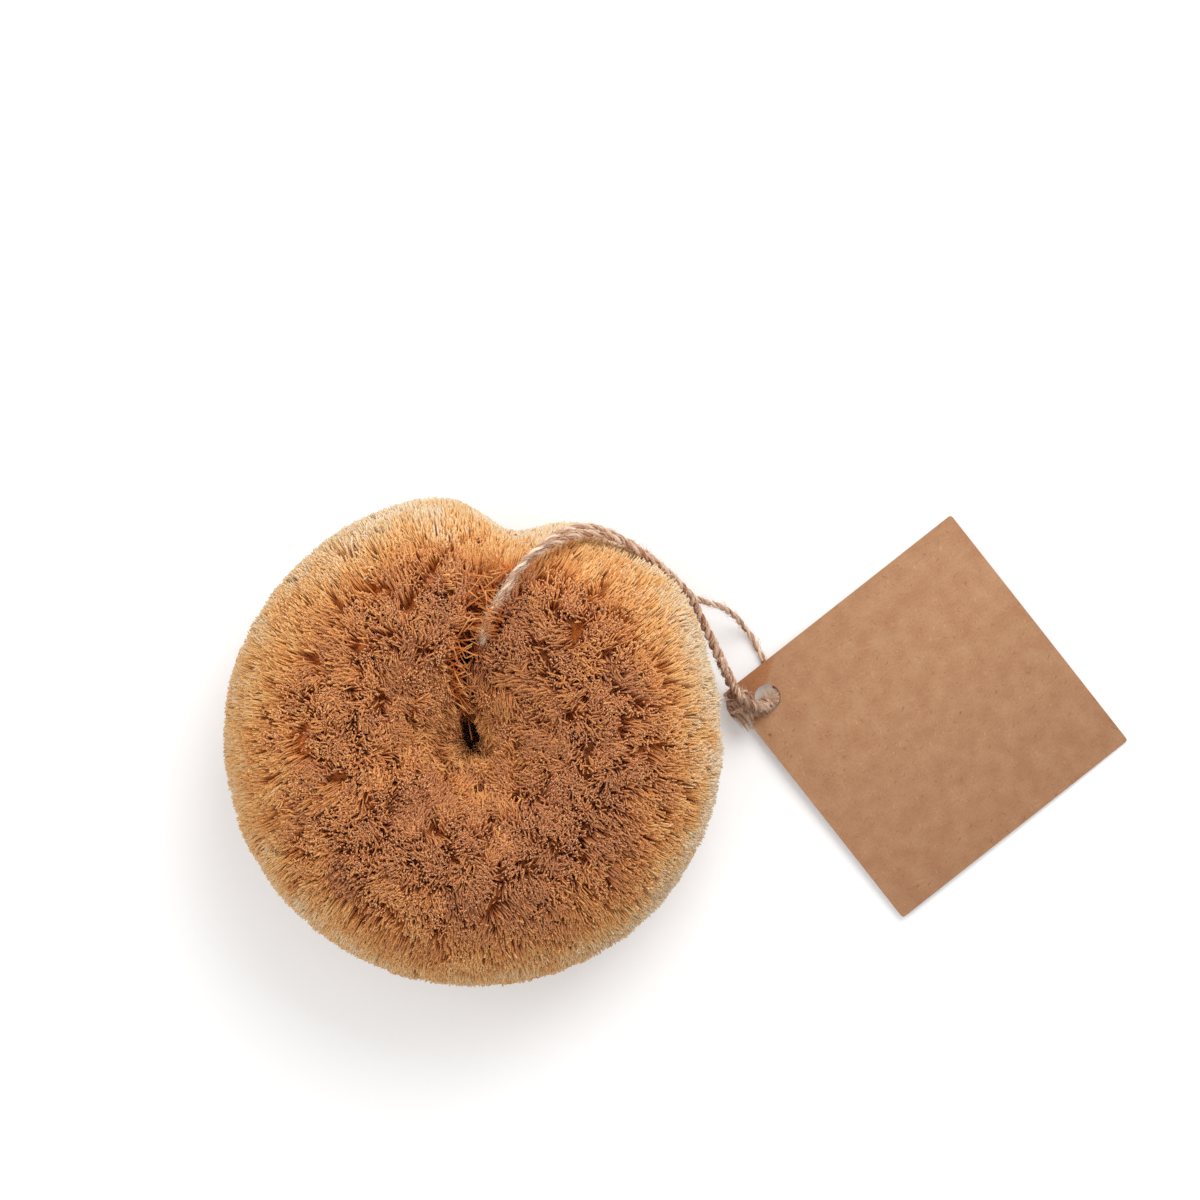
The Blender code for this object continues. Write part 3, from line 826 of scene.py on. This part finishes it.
def hair_lines(line, count, length, source, out=0.5):
    """Loose hairs along a strand: they start in it and stray outwards, mostly along it."""
    first, second = carried_frames(line)
    along = unit(np.gradient(line, axis=0))
    at = source.integers(1, len(line) - 1, count)
    turn = source.uniform(0, TURN, (count, 1))
    away = turned(first[at], second[at], turn)
    way = along[at] * source.choice([-1, 1], (count, 1))
    reach = length * source.uniform(0.4, 1.0, (count, 1))
    rise = reach * source.uniform(0.15, out, (count, 1))
    root = line[at] + away * TWINE_DIAMETER * 0.35
    middle = root + way * reach * 0.5 + away * rise * 0.2
    tip = root + way * reach * source.uniform(0.5, 1.0, (count, 1)) + away * rise
    tip += source.normal(0, 0.12 * MM, (count, 3))
    return curves(root, middle, tip)


def frayed_lines(count, source):
    """Fibres that run on from the strand through the knot, and end beyond it as a frayed end."""
    centre, axis, side, up = knot_frame()
    steps = np.linspace(0, 1, 9)
    start = source.uniform(-1.0, 1.5, count) * MM
    end = source.uniform(2.5, 5.5, count) * MM
    along = start[:, None] + (end - start)[:, None] * steps
    turn = source.uniform(-0.1, 0.6, count)[:, None] * TURN + 0.15 * TURN * steps
    out = (0.5 + 1.6 * bell(along, 3.6 * MM)) * MM + source.normal(0, 0.2 * MM, (count, 1))
    return centre + axis * along[..., None] + turned(side, up, turn[..., None]) * out[..., None]


def hole_lines(bight, count, source):
    """Loose fibres of the bight that fill the tag's hole."""
    root = bight[source.integers(0, len(bight), count)]
    turn = source.uniform(0, TURN, (count, 1))
    out = TAG_HOLE_DIAMETER * 0.46 * np.sqrt(source.random((count, 1)))
    flat = np.concatenate([np.cos(turn), np.sin(turn), 0 * turn], axis=1) * out
    tip = hole_middle() + flat
    tip[:, 2] += source.uniform(-0.2, 0.7, count) * MM
    middle = (root + tip) / 2 + source.normal(0, 0.5 * MM, (count, 3))
    return curves(root, middle, tip)


def add_hairs(name, lines, radius, source, material):
    """One object of tapering hairs, kept above the floor."""
    lines[..., 2] = np.maximum(lines[..., 2], FLOOR_GAP)
    radii = radius * np.ones(lines.shape[:2]) * np.linspace(1.0, 0.4, lines.shape[1])
    columns = source.integers(0, SHADES, len(lines)).astype(float)
    return add_fibres(name, lines, radii, columns, SHADES, material)


def make_twine(materials, loop):
    """The loop with its hairs, and the knot, the bight through the tag and the frayed end."""
    source = draws(900)
    twine, hair = materials
    walked = np.linspace(0, line_length(loop), len(loop))
    near_knot = 0.35 * bell(walked, 28 * MM, 4) + 0.3 * bell(walked, 7 * MM)
    second = walked > walked[-1] / 2
    width = TWINE_DIAMETER * (1.04 + near_knot - 0.2 * second)
    strand = add_strand("twine_strand", loop, width, twine, second)
    loose = hair_lines(loop, 1500, 2.8 * MM, source)
    hairs = add_hairs("twine_hairs", loose, HAIR_RADIUS, source, hair)
    skin = wisp_lines(loop, width, 360, 5 * MM, source)
    wisps = add_hairs("twine_wisps", skin, WISP_RADIUS, source, hair)
    for piece in (strand, hairs, wisps):
        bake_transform(piece)
    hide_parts("twine_loop")

    centre, axis, _, _ = knot_frame()
    coil = resample(knot_coil(), TWINE_STEP)
    knot = add_strand("twine_knot_strand", coil, KNOT_TWINE, twine)
    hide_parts("twine_knot")
    bight_line = catmull_rom(np.concatenate([BIGHT_ROUTE, coil[:1]]), TWINE_STEP)
    bight_line += np.sin(np.linspace(0, math.pi, len(bight_line)))[:, None] ** 2 * BIGHT_SAG
    above_card = np.clip((bight_line[:, 2] - 2.1 * MM) / (0.7 * MM), 0, 1)
    bight_width = TWINE_DIAMETER * (1.0 + 0.9 * above_card)
    in_hole = lengths(bight_line - hole_middle()) < 2.2 * MM
    bight = add_strand("twine_bight_strand", bight_line, bight_width, hair)
    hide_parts("twine_bight")
    over_line = catmull_rom(OVER_ROUTE, TWINE_STEP)
    over_width = TWINE_DIAMETER * np.linspace(0.9, 1.35, len(over_line))
    over = add_strand("twine_over_knot", over_line, over_width, hair)
    tail_line = np.array([centre - axis * KNOT_HEAD, centre, centre + axis * KNOT_TAIL])
    tail_line = resample(tail_line, TWINE_STEP)
    tail = add_strand("twine_tail_strand", tail_line, TWINE_DIAMETER, twine)
    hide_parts("twine_tail")
    fray = (
        hair_lines(coil, 420, 2.4 * MM, source, 0.7),
        hair_lines(bight_line[above_card > 0.1], 300, 2.4 * MM, source, 0.4),
        hair_lines(tail_line[-12:], 160, 2.6 * MM, source, 0.6),
        hole_lines(bight_line[in_hole], 420, source),
    )
    fuzz = add_hairs("knot_hairs", np.concatenate(fray), HAIR_RADIUS, source, hair)
    skin = (
        wisp_lines(coil, KNOT_TWINE, 160, 4 * MM, source, 0.2),
        wisp_lines(bight_line, bight_width, 420, 6 * MM, source, 0.25),
        wisp_lines(tail_line, TWINE_DIAMETER * 1.2, 160, 5 * MM, source, 0.4),
        wisp_lines(over_line, over_width, 160, 5 * MM, source, 0.3),
        frayed_lines(130, source),
    )
    knot_wisps = add_hairs("knot_wisps", np.concatenate(skin), WISP_RADIUS, source, twine)
    for piece in (knot, over, bight, tail, fuzz, knot_wisps):
        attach(piece, "twine_end")
    return strand, [hairs, wisps, knot, over, bight, tail, fuzz, knot_wisps]


# Tag


def tag_matrix():
    """The tag's own frame, with its tied corner as the origin and its diagonal as x."""
    turned = Matrix.Rotation(TAG_HEADING, 4, "Z") @ Matrix.Rotation(TAG_SLOPE, 4, "Y")
    return Matrix.Translation(TAG_CORNER) @ turned


def hole_middle():
    return np.array(tag_matrix() @ Vector((TAG_HOLE_INSET, 0, 0)))


def card_outline():
    """The card's corners, slightly worn, and its edges, along the diagonal frame of the tag."""
    corners = np.array([(0, 0), (TAG_HALF, -TAG_HALF), (2 * TAG_HALF, 0), (TAG_HALF, TAG_HALF)])
    worn = 0.5 * MM
    outline = []
    for before, corner, after in zip(np.roll(corners, 1, axis=0), corners, np.roll(corners, -1, axis=0)):
        to_before, to_after = unit(before - corner), unit(after - corner)
        for share in (0, 0.5, 1):
            outline.append(corner + worn * ((1 - share) ** 2 * to_before + share**2 * to_after))
    dense = []
    for start, end in zip(outline, outline[1:] + outline[:1]):
        steps = max(1, round(float(np.linalg.norm(end - start)) / (1.0 * MM)))
        dense += [start + (end - start) * step / steps for step in range(steps)]
    return np.array(dense)


def card_plan():
    """The card's points and triangles in the plane, with the punched hole open."""
    turns = TURN * np.arange(48) / 48
    middle = np.array([TAG_HOLE_INSET, 0])
    hole = middle + TAG_HOLE_DIAMETER / 2 * np.stack([np.cos(turns), np.sin(turns)], axis=1)
    outline = card_outline()
    grid = np.arange(-TAG_HALF, 2 * TAG_HALF, 1.1 * MM)
    inner = np.stack(np.meshgrid(grid, grid), axis=-1).reshape(-1, 2)
    inside = np.abs(inner[:, 0] - TAG_HALF) + np.abs(inner[:, 1]) < TAG_HALF - 0.8 * MM
    clear = lengths(inner - middle) > TAG_HOLE_DIAMETER / 2 + 0.5 * MM
    inner = inner[inside & clear]
    points = np.concatenate([outline, hole, inner])
    rims = [np.arange(len(outline)), len(outline) + np.arange(len(hole))]
    edges = [pair for rim in rims for pair in zip(rim.tolist(), np.roll(rim, -1).tolist())]
    made = geometry.delaunay_2d_cdt([Vector(p) for p in points / MM], edges, [], 0, 1e-4)
    points = np.array([tuple(p) for p in made[0]]) * MM
    triangles = np.array(made[2])
    centres = points[triangles].mean(axis=1)
    open_hole = lengths(centres - middle) < TAG_HOLE_DIAMETER / 2 * 0.998
    return points, triangles[~open_hole], rims


def card_lift(points):
    """How far the card is bent out of its plane: slightly bowed, and curled at the tied corner."""
    x, y = points[:, 0], points[:, 1]
    diagonal = 2 * TAG_HALF
    bow = 0.35 * MM * np.cos(math.pi * (x - TAG_HALF) / diagonal) * np.cos(math.pi * y / diagonal)
    waves = 0.05 * MM * np.sin(x / (6.1 * MM) + 1.0) * np.sin(y / (7.3 * MM))
    curl = -CORNER_CURL * np.clip(1 - x / TAG_HOLE_INSET, 0, 1) ** 1.5
    return bow + waves + curl


def make_tag(material):
    """The card: two faces and the walls between them, round its outline and its hole."""
    plan, triangles, rims = card_plan()
    lift = card_lift(plan)
    points = np.concatenate([np.column_stack([plan, lift + up]) for up in (0, TAG_THICKNESS)])
    count = len(plan)
    walls = []
    for rim, way in zip(rims, (1, -1)):
        ahead = np.roll(rim, -1)
        quads = np.stack([rim, ahead, ahead + count, rim + count], axis=1)
        walls.append(quads[:, ::way])
    walls = np.concatenate(walls)

    def spot(numbers):
        """UVs of points: the upper face has the map's left TAG_HALF and the lower face its right."""
        flat = plan[numbers % count]
        u = ((flat[..., 0] + flat[..., 1]) / (2 * TAG_HALF) * 0.96 + 0.02) / 2
        v = (flat[..., 0] - flat[..., 1]) / (2 * TAG_HALF) * 0.96 + 0.02
        return np.stack([u, v], axis=-1)

    upper_uvs = spot(triangles)
    lower_uvs = spot(triangles[:, ::-1]) + (0.5, 0)
    edge_uvs = spot(walls)
    edge_uvs[:, 2:] += (edge_uvs[:, 2:].mean(axis=(0, 1)) - edge_uvs[:, 2:]) * 0.01
    faces = [np.concatenate([triangles + count, triangles[:, ::-1]]), walls]
    uvs = [np.concatenate([upper_uvs, lower_uvs]), edge_uvs]
    card = add_mesh("kraft_tag", points, faces, uvs, (False, False), material)
    card.data.transform(tag_matrix())
    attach(card, "tag")
    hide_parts("tag")


# Materials


class Nodes:
    """Short words for building the node tree of a material or a world."""

    def __init__(self, owner, shader="Principled BSDF"):
        owner.use_nodes = True
        self.owner = owner
        self.tree = owner.node_tree
        self.shader = self.tree.nodes[shader]

    def add(self, kind, **values):
        """A node of a kind. values set its inputs by name, and its own settings."""
        node = self.tree.nodes.new(kind)
        for key, value in values.items():
            if hasattr(node, key):
                setattr(node, key, value)
            else:
                self.set(node.inputs[key.replace("_", " ")], value)
        return node

    def set(self, socket, value):
        """Links a socket to another node's output, or gives it a value."""
        if isinstance(value, bpy.types.NodeSocket):
            self.tree.links.new(value, socket)
        else:
            socket.default_value = value

    def shade(self, **values):
        """Sets the shader's own inputs by name."""
        for key, value in values.items():
            self.set(self.shader.inputs[key.replace("_", " ")], value)

    def maths(self, operation, *values):
        node = self.add("ShaderNodeMath", operation=operation)
        for socket, value in zip(node.inputs, values):
            self.set(socket, value)
        return node.outputs[0]

    def ramp(self, factor, *stops):
        """A colour that follows a factor. Each stop is a place and a linear colour."""
        node = self.add("ShaderNodeValToRGB")
        elements = node.color_ramp.elements
        while len(elements) < len(stops):
            elements.new(0.5)
        for element, (place, colour) in zip(elements, stops):
            element.position = place
            element.color = (*colour, 1.0)
        self.set(node.inputs[0], factor)
        return node.outputs[0]

    def mix(self, kind, factor, first, second):
        node = self.add("ShaderNodeMix", data_type="RGBA", blend_type=kind)
        for number, value in ((0, factor), (6, first), (7, second)):
            self.set(node.inputs[number], (*value, 1.0) if isinstance(value, tuple) else value)
        return node.outputs[2]

    def paint(self, factor, *stops):
        """A ramp with its colours in the 0 to 255 steps of a picture."""
        return self.ramp(factor, *((place, srgb(*colour)) for place, *colour in stops))

    def tint(self, colour, factor, *stops, strength=1.0):
        """A colour multiplied by a ramp."""
        return self.mix("MULTIPLY", strength, colour, self.ramp(factor, *stops))

    def uv(self):
        """The two coordinates of the piece's own map."""
        place = self.add("ShaderNodeUVMap", uv_map=UV_NAME)
        parts = self.add("ShaderNodeSeparateXYZ", Vector=place.outputs[0])
        return place.outputs[0], parts.outputs[0], parts.outputs[1]

    def noise(self, vector, scale, detail):
        return self.add("ShaderNodeTexNoise", Vector=vector, Scale=scale, Detail=detail).outputs[0]

    def stretched(self, vector, scale):
        return self.add("ShaderNodeMapping", Vector=vector, Scale=scale).outputs[0]

    def streaks(self, vector, scale, detail):
        return self.noise(self.stretched(vector, (*scale, 1.0)), 1.0, detail)

    def bump(self, height, distance):
        node = self.add("ShaderNodeBump", Height=height, Distance=distance)
        self.set(self.shader.inputs["Normal"], node.outputs[0])


def srgb(red, green, blue):
    """A colour given in the 0 to 255 steps of a picture, made linear."""
    parts = []
    for part in (red, green, blue):
        part /= 255
        parts.append(part / 12.92 if part <= 0.04045 else ((part + 0.055) / 1.055) ** 2.4)
    return tuple(parts)


def coir_material():
    """Coir: brown at the root, golden along the side, with pinkish cut ends."""
    nodes = Nodes(bpy.data.materials.new("coir"))
    place, u, v = nodes.uv()
    column = nodes.maths("FLOOR", nodes.maths("MULTIPLY", u, TONES * SHADES))
    tone = nodes.maths("DIVIDE", nodes.maths("FLOOR", nodes.maths("MULTIPLY", u, TONES)), TONES - 1)
    brown, golden = (0.0, 200, 132, 86), (0.3, 234, 160, 90)
    colour = nodes.paint(tone, brown, golden, (0.6, 252, 198, 126), (1.0, 255, 228, 188))
    along = nodes.paint(v, (0.0, 250, 194, 128), (0.45, 252, 222, 180), (0.8, 255, 253, 250))
    colour = nodes.mix("MULTIPLY", 1.0, colour, along)
    shade = nodes.add("ShaderNodeTexWhiteNoise", noise_dimensions="1D", W=column).outputs[0]
    dim, bright = (0.0, (0.86, 0.82, 0.78)), (1.0, (1.04, 1.05, 1.06))
    colour = nodes.tint(colour, shade, dim, (0.6, WHITE), bright)
    streaks = nodes.streaks(place, (TONES * SHADES * 2.5, 9.0), 3.0)
    colour = nodes.tint(colour, streaks, (0.3, (0.7, 0.6, 0.5)), (0.65, WHITE), strength=0.3)
    fresh = nodes.maths("MULTIPLY", nodes.maths("POWER", tone, 10.0), nodes.maths("POWER", v, 3.0))
    colour = nodes.mix("MIX", nodes.maths("MULTIPLY", fresh, 0.5), colour, srgb(255, 238, 212))
    end = nodes.mix("MIX", shade, srgb(240, 188, 138), srgb(204, 138, 94))
    colour = nodes.mix("MIX", nodes.maths("GREATER_THAN", v, CUT_FROM), colour, end)
    nodes.shade(
        Base_Color=colour,
        Roughness=nodes.maths("MULTIPLY_ADD", streaks, 0.25, 0.42),
        Specular_IOR_Level=0.35,
        Sheen_Weight=0.15,
        Sheen_Roughness=0.4,
        Sheen_Tint=(1.0, 0.85, 0.66, 1.0),
    )
    return nodes.owner


def jute_material(name, pale):
    """Jute: one ply pinkish brown and the other cream, in fine streaks that run along the ply."""
    nodes = Nodes(bpy.data.materials.new(name))
    place, u, v = nodes.uv()
    fine = nodes.streaks(place, (26.0, 20.0), 4.0)
    broad = nodes.streaks(place, (6.0, 8.0), 2.0)
    brown = nodes.paint(fine, (0.3, 120, 76, 54), (0.5, 172, 118, 88), (0.7, 214, 166, 134))
    cream = nodes.paint(fine, (0.3, 214, 172, 140), (0.5, 250, 222, 194), (0.7, 255, 242, 226))
    other_ply = nodes.maths("GREATER_THAN", u, 0.5)
    second = nodes.maths("GREATER_THAN", v, 0.5)
    other_ply = nodes.maths("MULTIPLY", other_ply, nodes.maths("MULTIPLY_ADD", second, 0.35, 0.65))
    other_ply = nodes.maths("MAXIMUM", other_ply, nodes.maths("MULTIPLY", second, 0.2))
    if pale:
        other_ply = nodes.maths("MULTIPLY_ADD", other_ply, 0.3, 0.7)
    colour = nodes.mix("MIX", other_ply, brown, cream)
    colour = nodes.tint(colour, broad, (0.3, (0.7, 0.58, 0.52)), (0.6, WHITE), strength=0.4)
    roughness = nodes.maths("MULTIPLY_ADD", fine, 0.2, 0.65)
    nodes.shade(Base_Color=colour, Roughness=roughness, Specular_IOR_Level=0.25)
    if not pale:
        nodes.bump(fine, 0.08 * MM)
    return nodes.owner


def kraft_material():
    """Kraft card: mottled brown pulp, with dark and pale fibres pressed into it, and painted shade
    towards its bottom corner and at its tied corner.
    """
    nodes = Nodes(bpy.data.materials.new("kraft_card"))
    place, u, v = nodes.uv()
    even = nodes.stretched(place, (2.0, 1.0, 1.0))
    cloud = nodes.noise(even, 16.0, 8.0)
    grain = nodes.noise(even, 130.0, 4.0)
    colour = nodes.paint(cloud, (0.3, 173, 125, 92), (0.5, 180, 134, 99), (0.7, 186, 142, 106))
    # Painted shade: the card darkens towards its bottom corner
    colour = nodes.tint(colour, v, (0.3, WHITE), (1.0, (0.8, 0.78, 0.77)))
    speck = nodes.add("ShaderNodeVectorMath", operation="DISTANCE")
    nodes.set(speck.inputs[0], even)
    speck.inputs[1].default_value = (*SPECK, 0)
    colour = nodes.tint(colour, speck.outputs["Value"], (0.0, (0.3, 0.26, 0.24)), (0.006, WHITE))
    # Painted shade: the tied corner beyond the hole is darker and warmer, as in the shade of the twine
    # and the brush
    across_card = nodes.maths("FRACT", nodes.maths("MULTIPLY", u, 2.0))
    painted_corner_shade = nodes.maths("MULTIPLY_ADD", across_card, 0.83, nodes.maths("MULTIPLY", v, 1.17))
    colour = nodes.tint(colour, painted_corner_shade, (0.205, (0.9, 0.74, 0.6)), (0.225, WHITE))
    colour = nodes.tint(colour, grain, (0.3, (0.76, 0.72, 0.68)), (0.6, WHITE), strength=0.5)
    for turn, scale, start, end, fleck in (
        (0.5, (34.0, 110.0), 0.69, 0.76, (0.74, 0.68, 0.62)),
        (2.1, (30.0, 120.0), 0.70, 0.77, (0.78, 0.72, 0.66)),
        (1.2, (36.0, 100.0), 0.68, 0.76, (1.22, 1.21, 1.2)),
        (2.8, (22.0, 130.0), 0.66, 0.76, (1.16, 1.15, 1.14)),
        (0.1, (24.0, 140.0), 0.66, 0.76, (0.86, 0.83, 0.8)),
    ):
        turned_card = nodes.add("ShaderNodeVectorRotate", Vector=even, Angle=turn).outputs[0]
        flecks = nodes.streaks(turned_card, scale, 1.0)
        colour = nodes.tint(colour, flecks, (start, WHITE), (end, fleck))
    roughness = nodes.maths("MULTIPLY_ADD", grain, 0.2, 0.68)
    nodes.shade(Base_Color=colour, Roughness=roughness, Specular_IOR_Level=0.25)
    nodes.bump(grain, 0.03 * MM)
    return nodes.owner


def wire_material():
    """Galvanised wire: dull zinc with cloudy spangle."""
    nodes = Nodes(bpy.data.materials.new("galvanised_wire"))
    place = nodes.add("ShaderNodeTexCoord").outputs["Object"]
    cloud = nodes.noise(place, 900.0, 3.0)
    colour = nodes.paint(cloud, (0.35, 150, 152, 155), (0.65, 205, 207, 210))
    roughness = nodes.maths("MULTIPLY_ADD", cloud, 0.3, 0.25)
    nodes.shade(Base_Color=colour, Roughness=roughness, Metallic=1.0)
    return nodes.owner


def floor_material():
    """A pale floor that shows white to the camera, and keeps the object's shadow."""
    nodes = Nodes(bpy.data.materials.new("pale_floor"))
    path = nodes.add("ShaderNodeLightPath")
    seen = nodes.maths("MAXIMUM", path.outputs["Is Camera Ray"], path.outputs["Is Glossy Ray"])
    seen = nodes.maths("MAXIMUM", seen, path.outputs["Is Transmission Ray"])
    away = nodes.add("ShaderNodeVectorMath", operation="LENGTH")
    nodes.set(away.inputs[0], nodes.add("ShaderNodeTexCoord").outputs["Object"])
    past_object = nodes.maths("MAXIMUM", nodes.maths("SUBTRACT", away.outputs["Value"], 0.15), 0.0)
    level = nodes.maths("MULTIPLY_ADD", nodes.maths("MINIMUM", past_object, 0.6), 0.8, 0.2)
    nodes.shade(
        Base_Color=(0.86, 0.86, 0.86, 1.0),
        Roughness=0.9,
        Specular_IOR_Level=0.0,
        Emission_Color=(*WHITE, 1.0),
        Emission_Strength=nodes.maths("MULTIPLY", seen, level),
    )
    return nodes.owner


# Studio


def add_light(name, place, size, power):
    data = bpy.data.lights.new(name, "AREA")
    data.shape = "SQUARE"
    data.size = size
    data.energy = power
    light = add_object(name, data)
    light.location = place
    light.rotation_euler = (LIGHT_TARGET - Vector(place)).to_track_quat("-Z", "Y").to_euler()


def make_studio():
    """The camera, the floor, the world and the lamps."""
    scene = bpy.context.scene
    scene.view_settings.view_transform = "Standard"
    camera_data = bpy.data.cameras.new("camera")
    camera_data.sensor_width = SENSOR_WIDTH
    camera_data.lens = SENSOR_WIDTH * CAMERA_PLACE.z / PHOTO_WIDTH
    camera_data.clip_start = 0.01
    scene.camera = add_object("camera", camera_data)
    scene.camera.location = CAMERA_PLACE

    mesh = bpy.data.meshes.new("floor")
    corners = ((-1, -1), (1, -1), (1, 1), (-1, 1))
    mesh.from_pydata([(x * FLOOR_HALF, y * FLOOR_HALF, 0) for x, y in corners], [], [(0, 1, 2, 3)])
    mesh.materials.append(floor_material())
    floor = add_object("floor", mesh)

    nodes = Nodes(bpy.data.worlds.new("studio"), "Background")
    seen = nodes.add("ShaderNodeLightPath").outputs["Is Camera Ray"]
    level = nodes.maths("MULTIPLY_ADD", seen, 1 - WORLD_LIGHT, WORLD_LIGHT)
    nodes.shade(Color=(*WHITE, 1.0), Strength=level)
    scene.world = nodes.owner

    add_light("key", place=(0.24, 0.45, 0.55), size=0.5, power=3.6)
    add_light("fill", place=(-0.4, -0.05, 0.55), size=0.6, power=1.1)


def main():
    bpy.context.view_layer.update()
    make_studio()
    loop = loop_line()
    materials = jute_material("jute_twine", False), jute_material("jute_hair", True)
    strand, on_twine = make_twine(materials, loop)
    make_tag(kraft_material())
    resample(loop, 1.0 * MM).tolist()
    make_bristles(coir_material(), loop)
    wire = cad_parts["core_wire"]
    wire.data.materials.clear()
    wire.data.materials.append(wire_material())


main()
